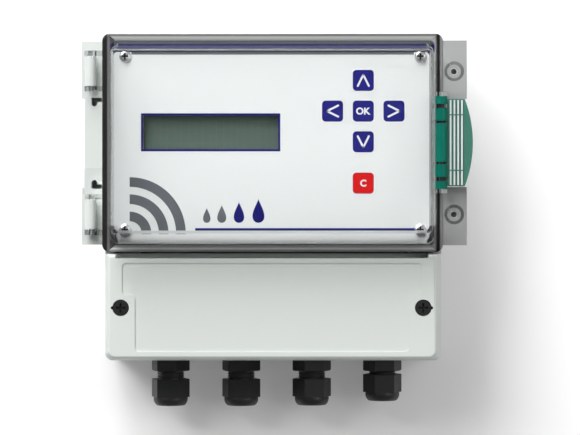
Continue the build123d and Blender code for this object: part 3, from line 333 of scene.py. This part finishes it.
overlay_low, overlay_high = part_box("panel_overlay")
panel_middle = (overlay_low.z + overlay_high.z) / 2
panel_face = overlay_low.y
print_thickness = 0.00004


def add_piece(name, points, faces, material, body):
    """A new piece from its points and faces, riding on a body of the frame."""
    mesh = bpy.data.meshes.new(name)
    mesh.from_pydata(points.tolist(), [], faces)
    mesh.materials.append(material)
    piece = bpy.data.objects.new(name, mesh)
    bpy.context.scene.collection.objects.link(piece)
    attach(piece, body)


def plate(name, outline, face, thickness, material, body):
    """A flat plate: an outline in X and Z, given anticlockwise from the front, carried along Y."""
    count = len(outline)
    front = np.column_stack([outline[:, 0], np.full(count, face), outline[:, 1]])
    back = front + (0, thickness, 0)
    ring = np.arange(count)
    after = np.roll(ring, -1)
    walls = np.column_stack([after, ring, ring + count, after + count])
    faces = [ring.tolist(), (ring[::-1] + count).tolist(), *walls.tolist()]
    add_piece(name, np.vstack([front, back]), faces, material, body)


def film_print(name, outline, ink):
    """A flat print on the film: a plate that stands on the film's face."""
    plate(name, outline, panel_face - print_thickness, print_thickness, ink, "housing")


def film_frame(name, outer, inner, ink):
    """A closed band printed on the film, between two outlines of equal count, carried along Y."""
    count = len(outer)
    front = panel_face - print_thickness
    back = front + print_thickness
    rows = [
        np.column_stack([line[:, 0], np.full(count, depth), line[:, 1]])
        for line, depth in ((outer, front), (inner, front), (inner, back), (outer, back))
    ]
    ring = np.arange(count)
    after = np.roll(ring, -1)
    faces = []
    for row in range(4):
        a, b = row * count, (row + 1) % 4 * count
        faces += np.column_stack([a + ring, a + after, b + after, b + ring]).tolist()
    add_piece(name, np.vstack(rows), faces, ink, "housing")


def rectangle(x, z, width, height):
    """The four corners of an upright rectangle about a middle, anticlockwise from the front."""
    return np.array([x, z]) + np.array([[-1, -1], [1, -1], [1, 1], [-1, 1]]) * (width / 2, height / 2)


def rounded(x, z, width, height, radius, steps=8):
    """A rectangle with quarter-circle corners, anticlockwise from the front."""
    turn = np.linspace(0, np.pi / 2, steps)
    arc = np.column_stack([np.cos(turn), np.sin(turn)]) * radius
    quarter = np.array([[0, -1], [1, 0]])
    corners = np.array([[1, 1], [-1, 1], [-1, -1], [1, -1]]) * (width / 2 - radius, height / 2 - radius)
    spin = [np.linalg.matrix_power(quarter, k) for k in range(4)]
    return np.array([x, z]) + np.vstack([corners[k] + arc @ spin[k].T for k in range(4)])


window_x, window_z = -0.0414, panel_middle + 0.0071
window_width, window_height, window_line = 0.0902, 0.0226, 0.0014
film_frame(
    "window_frame_print",
    rectangle(window_x, window_z, window_width + 2 * window_line, window_height + 2 * window_line),
    rectangle(window_x, window_z, window_width, window_height),
    print_navy,
)

# Header: a navy band along the top edge, a grey band above it that is painted shade, and a grey line below
# it.
header_low, header_high, header_edge = 0.0975, 0.1022, overlay_high.z - 0.0006
header_width = 2 * overlay_high.x - 0.002
header_line, header_line_width = 0.0017, 0.1885
film_print(
    "header_print",
    rectangle(0, (header_low + header_high) / 2, header_width, header_high - header_low),
    print_navy,
)
# The grey band above the navy is painted shade, for the lid's shade on the panel's top margin.
film_print(
    "header_painted_shade",
    rectangle(0, (header_high + header_edge) / 2, header_width, header_edge - header_high),
    grey_print_and_shade,
)
film_print(
    "header_line_print",
    rectangle(0, header_low - header_line / 2, header_line_width, header_line),
    grey_print_and_shade,
)
underline_x, underline_z, underline_width, underline_height = 0.0216, -0.0211, 0.1466, 0.0021
film_print(
    "underline_print", rectangle(underline_x, underline_z, underline_width, underline_height), print_navy
)

# Ripples: quarter rings that spread from the lower left corner, a plain sign for spreading water.
ripple_x, ripple_z, ripple_steps = -0.0955, -0.0235, 33
ripple_rings = ((0.008, 0.0145), (0.0195, 0.026), (0.031, 0.0375))
turn = np.linspace(0, np.pi / 2, ripple_steps)
arc = np.column_stack([np.cos(turn), np.sin(turn)])
for number, (inner, outer) in enumerate(ripple_rings, start=1):
    outline = np.array([ripple_x, ripple_z]) + np.vstack([arc * outer, arc[::-1] * inner])
    film_print(f"ripple_print_{number}", outline, grey_print_and_shade)

# Drops: a row of pear-shaped drops over the underline, the curve x = -sin t sin(t/2)^1.6, z = cos t.
drop_foot, drop_breadth, drop_taper, drop_steps = -0.0165, 0.36, 1.6, 64
drops = (
    (-0.044, 0.010, grey_print_and_shade),
    (-0.034, 0.012, grey_print_and_shade),
    (-0.0225, 0.014, print_navy),
    (-0.0095, 0.016, print_navy),
)
turn = np.linspace(0, 2 * np.pi, drop_steps, endpoint=False)
drop = np.column_stack([-np.sin(turn) * np.sin(turn / 2) ** drop_taper, np.cos(turn)])
for number, (x, height, ink) in enumerate(drops, start=1):
    outline = np.array([x, drop_foot + height / 2]) + drop * (height * drop_breadth, height / 2)
    film_print(f"drop_print_{number}", outline, ink)


# Display. Grey-green liquid crystal glass in a black pressed frame, sunk behind the window, with
# the faint cells of two lines of characters.
display_green = bpy.data.materials.new("display_green")
display_green.use_nodes = True
tree = display_green.node_tree
body = tree.nodes["Principled BSDF"]
body.inputs["Roughness"].default_value = 0.22
body.inputs["Coat Weight"].default_value = 0.3
place = tree.nodes.new("ShaderNodeTexCoord")
cells = node(tree, "ShaderNodeTexBrick", Scale=1.0, Mortar_Size=0.0003, Mortar_Smooth=0.4)
cells.offset = 0.0
cells.inputs["Brick Width"].default_value = 0.0047
cells.inputs["Row Height"].default_value = 0.0092
cells.inputs["Color1"].default_value = (0.068, 0.097, 0.083, 1)
cells.inputs["Color2"].default_value = (0.07, 0.099, 0.085, 1)
cells.inputs["Mortar"].default_value = (0.076, 0.107, 0.091, 1)
turned = node(tree, "ShaderNodeMapping", Rotation=(np.pi / 2, 0, 0))
tree.links.new(place.outputs["Object"], turned.inputs["Vector"])
tree.links.new(turned.outputs["Vector"], cells.inputs["Vector"])
tree.links.new(cells.outputs["Color"], body.inputs["Base Color"])
finish_nodes(display_green, "display_glass")


# Keys. Blue pads, and one red, of moulded plastic in openings of the panel. Each is printed with a
# white sign, and the film has a fine white line round its opening.
pad_grain = (2600.0, 0.000008)
key_blue = moulding("key_blue", (0.009, 0.009, 0.15), shade=0.1, gloss=ink_gloss, grain=pad_grain, shine=0.2)
key_red = moulding("key_red", (0.52, 0.003, 0.004), shade=0.08, gloss=ink_gloss, grain=pad_grain, shine=0.2)
print_white = moulding("print_white", (0.62, 0.63, 0.64), shade=0.03, gloss=(0.4, 0.5), grain=film_grain)
finish_nodes(key_blue, "key_up", "key_ok", "key_down", "key_left", "key_right")
finish_nodes(key_red, "key_clear")

# The white line runs on the film from the opening's edge outwards.
opening_gap, halo_width, key_corner = 0.00025, 0.0011, 0.0022
for key in key_names:
    low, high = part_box(f"key_{key}")
    x, z, size = (low.x + high.x) / 2, (low.z + high.z) / 2, high.x - low.x
    reach = opening_gap + halo_width
    film_frame(
        f"halo_{key}",
        rounded(x, z, size + 2 * reach, size + 2 * reach, key_corner + reach),
        rounded(x, z, size + 2 * opening_gap, size + 2 * opening_gap, key_corner + opening_gap),
        print_white,
    )


def stroke(start, end, width, steps=10):
    """The outline of a straight pen stroke with round ends, anticlockwise from the front."""
    start, end = np.array(start), np.array(end)
    along = np.arctan2(*(end - start)[::-1])
    turn = np.linspace(-np.pi / 2, np.pi / 2, steps) + along
    cap = np.column_stack([np.cos(turn), np.sin(turn)]) * width / 2
    return np.vstack([end + cap, start - cap])


arrow_half, arrow_rise, arrow_width = 0.0037, 0.0037, 0.0013
for key, (dx, dz) in {"up": (0, 1), "down": (0, -1), "left": (-1, 0), "right": (1, 0)}.items():
    low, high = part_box(f"key_{key}")
    middle = np.array([(low.x + high.x) / 2, (low.z + high.z) / 2])
    tip = middle + np.array([dx, dz]) * arrow_rise
    for side, way in (("first", 1), ("second", -1)):
        tail = middle - np.array([dx, dz]) * arrow_rise + np.array([dz, dx]) * way * arrow_half
        plate(
            f"arrow_{key}_{side}",
            stroke(tail, tip, arrow_width),
            low.y - print_thickness,
            print_thickness,
            print_white,
            f"key_{key}",
        )


def sign(name, words, size, weight, key):
    """White capitals in the middle of a key, cut from a font outline and laid on its face."""
    low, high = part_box(key)
    curve = bpy.data.curves.new(name, "FONT")
    curve.body = words
    curve.size = size
    curve.offset = weight
    curve.extrude = print_thickness / 2
    curve.align_x = "CENTER"
    curve.align_y = "CENTER"
    letters = bpy.data.objects.new(name, curve)
    bpy.context.scene.collection.objects.link(letters)
    bpy.context.view_layer.update()
    mesh = bpy.data.meshes.new_from_object(letters.evaluated_get(bpy.context.evaluated_depsgraph_get()))
    bpy.data.objects.remove(letters)
    flat = np.empty(len(mesh.vertices) * 3, np.float32)
    mesh.vertices.foreach_get("co", flat)
    flat = flat.reshape(-1, 3)
    flat[:, :2] -= (flat[:, :2].min(0) + flat[:, :2].max(0)) / 2
    placed = np.column_stack([flat[:, 0], -flat[:, 2], flat[:, 1]])
    placed += ((low.x + high.x) / 2, low.y - print_thickness / 2, (low.z + high.z) / 2)
    mesh.vertices.foreach_set("co", placed.astype(np.float32).ravel())
    mesh.update()
    mesh.materials.clear()
    mesh.materials.append(print_white)
    piece = bpy.data.objects.new(name, mesh)
    bpy.context.scene.collection.objects.link(piece)
    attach(piece, key)


sign("ok_print", "OK", size=0.0062, weight=0.00022, key="key_ok")
sign("clear_print", "C", size=0.006, weight=0.00022, key="key_clear")


# Screws and pins. Zinc-plated steel, bright and slightly grey, with fine marks from turning. The four
# panel screws have their cross recesses painted dark as shade, and the two cover screws are black.
zinc = bpy.data.materials.new("zinc")
zinc.use_nodes = True
tree = zinc.node_tree
body = tree.nodes["Principled BSDF"]
body.inputs["Metallic"].default_value = 1.0
place = tree.nodes.new("ShaderNodeTexCoord")
marks = node(tree, "ShaderNodeTexNoise", Scale=1400.0, Detail=4.0)
shine = tree.nodes.new("ShaderNodeMapRange")
shine.inputs["To Min"].default_value = 0.22
shine.inputs["To Max"].default_value = 0.38
tone = tree.nodes.new("ShaderNodeMix")
tone.data_type = "RGBA"
tone.inputs["A"].default_value = (0.76, 0.78, 0.8, 1)
tone.inputs["B"].default_value = (0.9, 0.91, 0.91, 1)
tree.links.new(place.outputs["Object"], marks.inputs["Vector"])
tree.links.new(marks.outputs["Fac"], shine.inputs["Value"])
tree.links.new(shine.outputs["Result"], body.inputs["Roughness"])
tree.links.new(marks.outputs["Fac"], tone.inputs["Factor"])
tree.links.new(tone.outputs["Result"], body.inputs["Base Color"])
finish_nodes(zinc, "hinge_pins", "latch_pin", "board_spacers", "board_screws")
finish_nodes(zinc, "power_board_screws", "terminal_screws")

# Recesses painted near black as shade: the panel screws' crosses and the latch barrel's grooves.
recess_painted_shade = moulding("recess_painted_shade", (0.02, 0.021, 0.024), shade=0.2, gloss=(0.3, 0.45))
screw_angle = 40
panel_screws = smooth_copy("panel_screws", zinc, "housing", screw_angle)
head_low, head_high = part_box("panel_screws")
head_radius, drive_radius, drive_lip = 0.0039, 0.0025, 0.0004
x, y, z = face_middles(panel_screws)
screw_x = head_high.x - head_radius
screw_rise = (head_high.z - head_low.z) / 2 - head_radius
from_axis = np.hypot(np.abs(x) - screw_x, np.abs(z - panel_middle) - screw_rise)
paint_faces(panel_screws, recess_painted_shade, (from_axis < drive_radius) & (y > head_low.y + drive_lip))
screw_black = moulding(
    "screw_black", (0.012, 0.012, 0.013), shade=0.2, gloss=(0.35, 0.5), grain=shell_grain
)
smooth_copy("cover_screws", screw_black, "housing", screw_angle)


# Lid. Clear polycarbonate, moulded in one piece. Its front and leaning walls are polished, while the
# rim and the ledge keep the mould's fine grain. Below the panel's foot it shades the cover most.
lid_back, rim_front, front_inside, lid_face = 0.062, 0.067, 0.1014, 0.104
panel_foot, foot_shade, foot_scatter, lid_scatter = -0.018, 0.08, 0.03, 0.5
wall_bend, lid_bend = 1.02, 1.25


def lid_zones(tree, height, rim, wall, front):
    """A colour or grey for each zone of the lid by its height off the wall: rim, leaning wall, front."""
    ramp = tree.nodes.new("ShaderNodeValToRGB")
    ramp.color_ramp.interpolation = "CONSTANT"
    ramp.color_ramp.elements[0].color = (*np.broadcast_to(rim, 3), 1)
    ramp.color_ramp.elements[1].position = (rim_front - lid_back) / (lid_face - lid_back)
    ramp.color_ramp.elements[1].color = (*np.broadcast_to(wall, 3), 1)
    last = ramp.color_ramp.elements.new((front_inside - lid_back) / (lid_face - lid_back))
    last.color = (*np.broadcast_to(front, 3), 1)
    tree.links.new(height, ramp.inputs["Fac"])
    return ramp.outputs["Color"]


def clear_plastic(name, front, wall=None, rim=None, clearness=1.0, bend=lid_bend, passed=0.88):
    """Clear plastic with a tint for each zone of the lid, and a shadow that light passes through.

    A zone without its own tint has the front's, and passed is the light that a leaning wall lets by.
    """
    material = bpy.data.materials.new(name)
    material.use_nodes = True
    tree = material.node_tree
    body = tree.nodes["Principled BSDF"]
    body.inputs["Transmission Weight"].default_value = clearness
    body.inputs["IOR"].default_value = bend
    place = tree.nodes.new("ShaderNodeTexCoord")
    axes = tree.nodes.new("ShaderNodeSeparateXYZ")
    height = tree.nodes.new("ShaderNodeMapRange")
    height.inputs["From Min"].default_value = -lid_back
    height.inputs["From Max"].default_value = -lid_face
    grain = node(tree, "ShaderNodeTexNoise", Scale=1500.0, Detail=2.0, Roughness=0.6)
    relief = node(tree, "ShaderNodeBump", Distance=0.00008)
    under = tree.nodes.new("ShaderNodeMath")
    under.operation = "LESS_THAN"
    under.inputs[1].default_value = panel_foot
    shade = tree.nodes.new("ShaderNodeMix")
    shade.data_type = "RGBA"
    shade.inputs["B"].default_value = (foot_shade, foot_shade, foot_shade, 1)
    scattered = tree.nodes.new("ShaderNodeMix")
    scattered.data_type = "RGBA"
    scattered.inputs["A"].default_value = (lid_scatter, lid_scatter, lid_scatter, 1)
    scattered.inputs["B"].default_value = (foot_scatter, foot_scatter, foot_scatter, 1)
    tint = tree.nodes.new("ShaderNodeMix")
    tint.data_type = "RGBA"
    path = tree.nodes.new("ShaderNodeLightPath")
    through = tree.nodes.new("ShaderNodeBsdfTransparent")
    pick = tree.nodes.new("ShaderNodeMixShader")
    tree.links.new(place.outputs["Object"], axes.inputs["Vector"])
    tree.links.new(axes.outputs["Y"], height.inputs["Value"])
    tree.links.new(axes.outputs["Z"], under.inputs[0])
    raised = height.outputs["Result"]
    zones = lid_zones(tree, raised, rim or front, wall or front, front)
    rough = lid_zones(tree, raised, rim=0.03, wall=0.0, front=0.01)
    grained = lid_zones(tree, raised, rim=0.08, wall=0.0, front=0.0)
    shadow = lid_zones(tree, raised, rim=0.8, wall=passed, front=0.96)
    tree.links.new(zones, tint.inputs["A"])
    tree.links.new(under.outputs[0], scattered.inputs["Factor"])
    tree.links.new(scattered.outputs["Result"], tint.inputs["B"])
    tree.links.new(path.outputs["Is Diffuse Ray"], tint.inputs["Factor"])
    tree.links.new(tint.outputs["Result"], body.inputs["Base Color"])
    tree.links.new(rough, body.inputs["Roughness"])
    tree.links.new(grained, relief.inputs["Strength"])
    tree.links.new(shadow, shade.inputs["A"])
    tree.links.new(place.outputs["Object"], grain.inputs["Vector"])
    tree.links.new(grain.outputs["Fac"], relief.inputs["Height"])
    tree.links.new(relief.outputs["Normal"], body.inputs["Normal"])
    tree.links.new(under.outputs[0], shade.inputs["Factor"])
    tree.links.new(shade.outputs["Result"], through.inputs["Color"])
    tree.links.new(path.outputs["Is Shadow Ray"], pick.inputs[0])
    tree.links.new(body.outputs[0], pick.inputs[1])
    tree.links.new(through.outputs[0], pick.inputs[2])
    tree.links.new(pick.outputs[0], tree.nodes["Material Output"].inputs["Surface"])
    return material


def banded_plastic(name, axis, start, end, stops, clearness=1.0, bend=lid_bend):
    """Clear plastic whose tint runs in grey bands along one axis, each stop a share of the way and a grey."""
    material = clear_plastic(name, stops[0][1], clearness=clearness, bend=bend)
    tree = material.node_tree
    tint = tree.nodes["Principled BSDF"].inputs["Base Color"].links[0].from_node
    tree.nodes.remove(tint.inputs["A"].links[0].from_node)
    place = tree.nodes.new("ShaderNodeTexCoord")
    axes = tree.nodes.new("ShaderNodeSeparateXYZ")
    span = tree.nodes.new("ShaderNodeMapRange")
    span.inputs["From Min"].default_value = start
    span.inputs["From Max"].default_value = end
    ramp = tree.nodes.new("ShaderNodeValToRGB")
    for position, grey in stops[1:-1]:
        ramp.color_ramp.elements.new(position).color = (grey, grey, grey, 1)
    for end_stop in (0, -1):
        ramp.color_ramp.elements[end_stop].color = (*np.broadcast_to(stops[end_stop][1], 3), 1)
    tree.links.new(place.outputs["Object"], axes.inputs["Vector"])
    tree.links.new(axes.outputs[axis], span.inputs["Value"])
    tree.links.new(span.outputs["Result"], ramp.inputs["Fac"])
    tree.links.new(ramp.outputs["Color"], tint.inputs["A"])
    return material


# The front and the lugs are lid_clear. The walls hardly bend light, so that what is behind stays in place.
lid_clear = clear_plastic("lid_clear", (0.985, 0.99, 0.99), (0.93, 0.94, 0.94), (0.62, 0.635, 0.63))
lid_wall = clear_plastic("lid_wall", (0.82, 0.83, 0.83), bend=wall_bend)
lid_flank = clear_plastic("lid_flank", (0.74, 0.75, 0.75), bend=wall_bend, passed=0.7)
lid_tab = clear_plastic("lid_tab", (0.93, 0.935, 0.93), bend=wall_bend)
lid_frost = clear_plastic("lid_frost", (0.42, 0.43, 0.425), clearness=0.4)
lid_glint = clear_plastic("lid_glint", (0.16, 0.165, 0.16), clearness=0.6)
# A dark tint, painted as shade on the walls of the lock cups.
lid_cup_painted_shade = clear_plastic("lid_cup_painted_shade", (0.16, 0.165, 0.16))

# The rim is tinted in painted bands of highlight and shade, the dark ones standing for the seal seen
# through it, and the lower wall, the skirt, is painted darker towards the rim as shade.
run_inner, run_outer, side_inner, side_outer, rim_clearness = 0.0682, 0.0728, 0.108, 0.1135, 0.35
top_stops = ((0, 0.25), (0.13, 0.4), (0.4, 0.6), (0.58, 0.48), (0.7, 0.16), (1, 0.22))
low_stops = (
    (0, 0.9),
    (0.15, 0.45),
    (0.28, 0.55),
    (0.43, 0.95),
    (0.58, 0.85),
    (0.72, 0.3),
    (0.85, 0.5),
    (1, 0.1),
)
right_stops = ((0, 0.4), (0.18, 0.12), (0.28, 0.02), (0.56, 0.02), (0.68, 0.3), (1, 0.4))
left_stops = ((0, 0.08), (0.15, 0.2), (0.35, 0.15), (0.42, 0.03), (1, 0.03))
rim_top_painted_light = banded_plastic(
    "rim_top_painted_light", "Z", panel_middle + run_inner, panel_middle + run_outer, top_stops, rim_clearness
)
rim_low_painted_light = banded_plastic(
    "rim_low_painted_light", "Z", panel_middle - run_inner, panel_middle - run_outer, low_stops, rim_clearness
)
rim_right_painted_light = banded_plastic("rim_right_painted_light", "X", side_inner, side_outer, right_stops, rim_clearness)
rim_left_painted_light = banded_plastic("rim_left_painted_light", "X", -side_inner, -side_outer, left_stops, rim_clearness)
skirt_front, skirt_stops = 0.09, ((0, 0.35), (0.25, 0.42), (0.6, 0.75), (1, 0.92))
lid_skirt_painted_shade = banded_plastic("lid_skirt_painted_shade", "Y", -rim_front, -skirt_front, skirt_stops, bend=wall_bend)

# Walls, and the rounded edge between them and the front. A face within on_plane of a plane lies on it.
on_plane, off_plane, front_skin = 0.0001, 0.0002, 0.00001
lid = smooth_copy("lid", lid_clear, "lid")
x, y, z = face_middles(lid)
across, rise = np.abs(x), np.abs(z - panel_middle)
wall_inside, edge_round, flank_inside, skirt_rise = 0.1082, 0.0016, 0.1, 0.055
above_skirt = z > panel_middle - skirt_rise
round_edge = (y < -lid_face + edge_round) & (y > -lid_face + front_skin)
leaning = (y < -rim_front - off_plane) & (y > -front_inside - off_plane) & (across < wall_inside)
paint_faces(lid, lid_wall, leaning | round_edge)
# The skirt's darkening towards the rim is painted shade.
paint_faces(lid, lid_skirt_painted_shade, leaning & (z < panel_middle - skirt_rise) & (across < flank_inside))
paint_faces(lid, lid_flank, leaning & (across > flank_inside) & (rise < skirt_rise))
# The rounded edge above the skirt is tinted grey as a painted highlight.
paint_faces(lid, lid_glint, round_edge & (y > -lid_face + off_plane) & above_skirt)

# Rim and ledge.
rim_foot, rim_start, rim_half, ledge_inside = 0.0005, 0.0675, 0.106, 0.1137
behind_rim_face = y > -rim_front - on_plane
on_rim = behind_rim_face & (y < -lid_back - rim_foot)
# Painted bands of highlight and shade on each run of the rim.
paint_faces(lid, rim_top_painted_light, on_rim & (across < rim_half) & (z > panel_middle + rim_start))
paint_faces(lid, rim_low_painted_light, on_rim & (across < rim_half) & (z < panel_middle - rim_start))
paint_faces(lid, rim_right_painted_light, on_rim & (x > rim_half) & (x < ledge_inside))
paint_faces(lid, rim_left_painted_light, on_rim & (x < -rim_half) & (x > -ledge_inside))
paint_faces(lid, lid_frost, (x > ledge_inside) & behind_rim_face)

# Tab at the hinge, ears at the latch, and the walls of the sunk lock cups, tinted dark as painted shade.
tab_low, tab_high, tab_thickness = panel_middle - 0.036, panel_middle - 0.016, 0.002
on_tab = (x < -ledge_inside) & (z > tab_low) & (z < tab_high)
paint_faces(lid, lid_tab, on_tab & (y > -lid_back - tab_thickness - on_plane))
ear_inner, ear_outer = 0.0305, 0.036
on_ear = (x > rim_half) & (y < -rim_front - on_plane) & (rise > ear_inner) & (rise < ear_outer)
paint_faces(lid, lid_flank, on_ear)
lock_x, lock_rise, cup_radius, cup_floor, ledge_thickness = 0.121, 0.0477, 0.0067, 0.001, 0.003
in_cup = (y < -lid_back - cup_floor - on_plane) & (y > -lid_back - ledge_thickness + on_plane)
paint_faces(lid, lid_cup_painted_shade, in_cup & (np.hypot(x - lock_x, rise - lock_rise) < cup_radius))


# Latch lever. Blue-green moulded plastic on a steel pin. Its plate is painted paler than the barrel as
# sheen, the four ribs have white highlights painted on their crests, two fine lines cross them, and the
# barrel's grooves are painted black as shade down to the pin.
latch_grain = (1500.0, 0.00002)
latch_green = moulding(
    "latch_green", (0.0, 0.17, 0.118), shade=0.12, gloss=(0.3, 0.42), grain=latch_grain, shine=0.15
)
latch_painted_sheen = moulding("latch_painted_sheen", (0.045, 0.19, 0.14), shade=0.12, gloss=(0.35, 0.5), grain=latch_grain)
latch_painted_highlight = moulding("latch_painted_highlight", (0.72, 0.75, 0.74), shade=0.08, grain=latch_grain)
latch_lever = smooth_copy("latch_lever", latch_green, "latch")
pin_low, pin_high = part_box("latch_pin")
pin_x, pin_y, pin_z = ((low + high) / 2 for low, high in zip(pin_low, pin_high))
barrel_radius, barrel_half, barrel_end, barrel_skin = 0.004, 0.0307, 0.001, 0.0003
plate_gap, crest_rise = 0.0002, 0.0006
x, y, z = face_middles(latch_lever)
plate_faces = x > pin_x + barrel_radius + plate_gap
# The plate, and the two fine lines on it, are painted a paler green as sheen.
paint_faces(latch_lever, latch_painted_sheen, plate_faces)
# The rib crests are painted white as highlights.
highlit_crests = plate_faces & (y < pin_y - crest_rise)
paint_faces(latch_lever, latch_painted_highlight, highlit_crests)
from_pin = np.hypot(x - pin_x, y - pin_y)
inside_barrel = (from_pin < barrel_radius - barrel_skin) & (np.abs(z - pin_z) < barrel_half - barrel_end)
# The grooves down to the pin are painted black as shade.
paint_faces(latch_lever, recess_painted_shade, inside_barrel)
crest_face, crest_left, crest_right = y[highlit_crests].min(), x[highlit_crests].min(), x[highlit_crests].max()
line_rise, line_height, line_overlap = 0.0184, 0.0008, 0.0008
line_depth, line_proud = 0.0004, 0.0001
for label, side in (("upper", 1), ("lower", -1)):
    plate(
        f"latch_line_{label}",
        rectangle(
            (crest_left + crest_right) / 2,
            pin_z + side * line_rise,
            crest_right - crest_left + 2 * line_overlap,
            line_height,
        ),
        crest_face - line_proud,
        line_depth,
        latch_painted_sheen,
        "latch",
    )


# Cable glands. Black polyamide bodies, domed nuts and locknuts, with a fine texture on the flats,
# over rubber inserts and washers.
gland_black = moulding(
    "gland_black", (0.022, 0.022, 0.024), shade=0.25, gloss=(0.3, 0.5), grain=(1200.0, 0.00012)
)
flat_angle, flat_rise = 28, 0.001
for number in (1, 2, 3, 4):
    for part in ("body", "nut"):
        smooth_copy(f"gland_{part}_{number}", gland_black, "housing", flat_angle, flat_rise)
    smooth_copy(f"gland_insert_{number}", seal_black, "housing")
smooth_copy("gland_washers", seal_black, "housing")
finish_nodes(gland_black, "gland_locknuts")
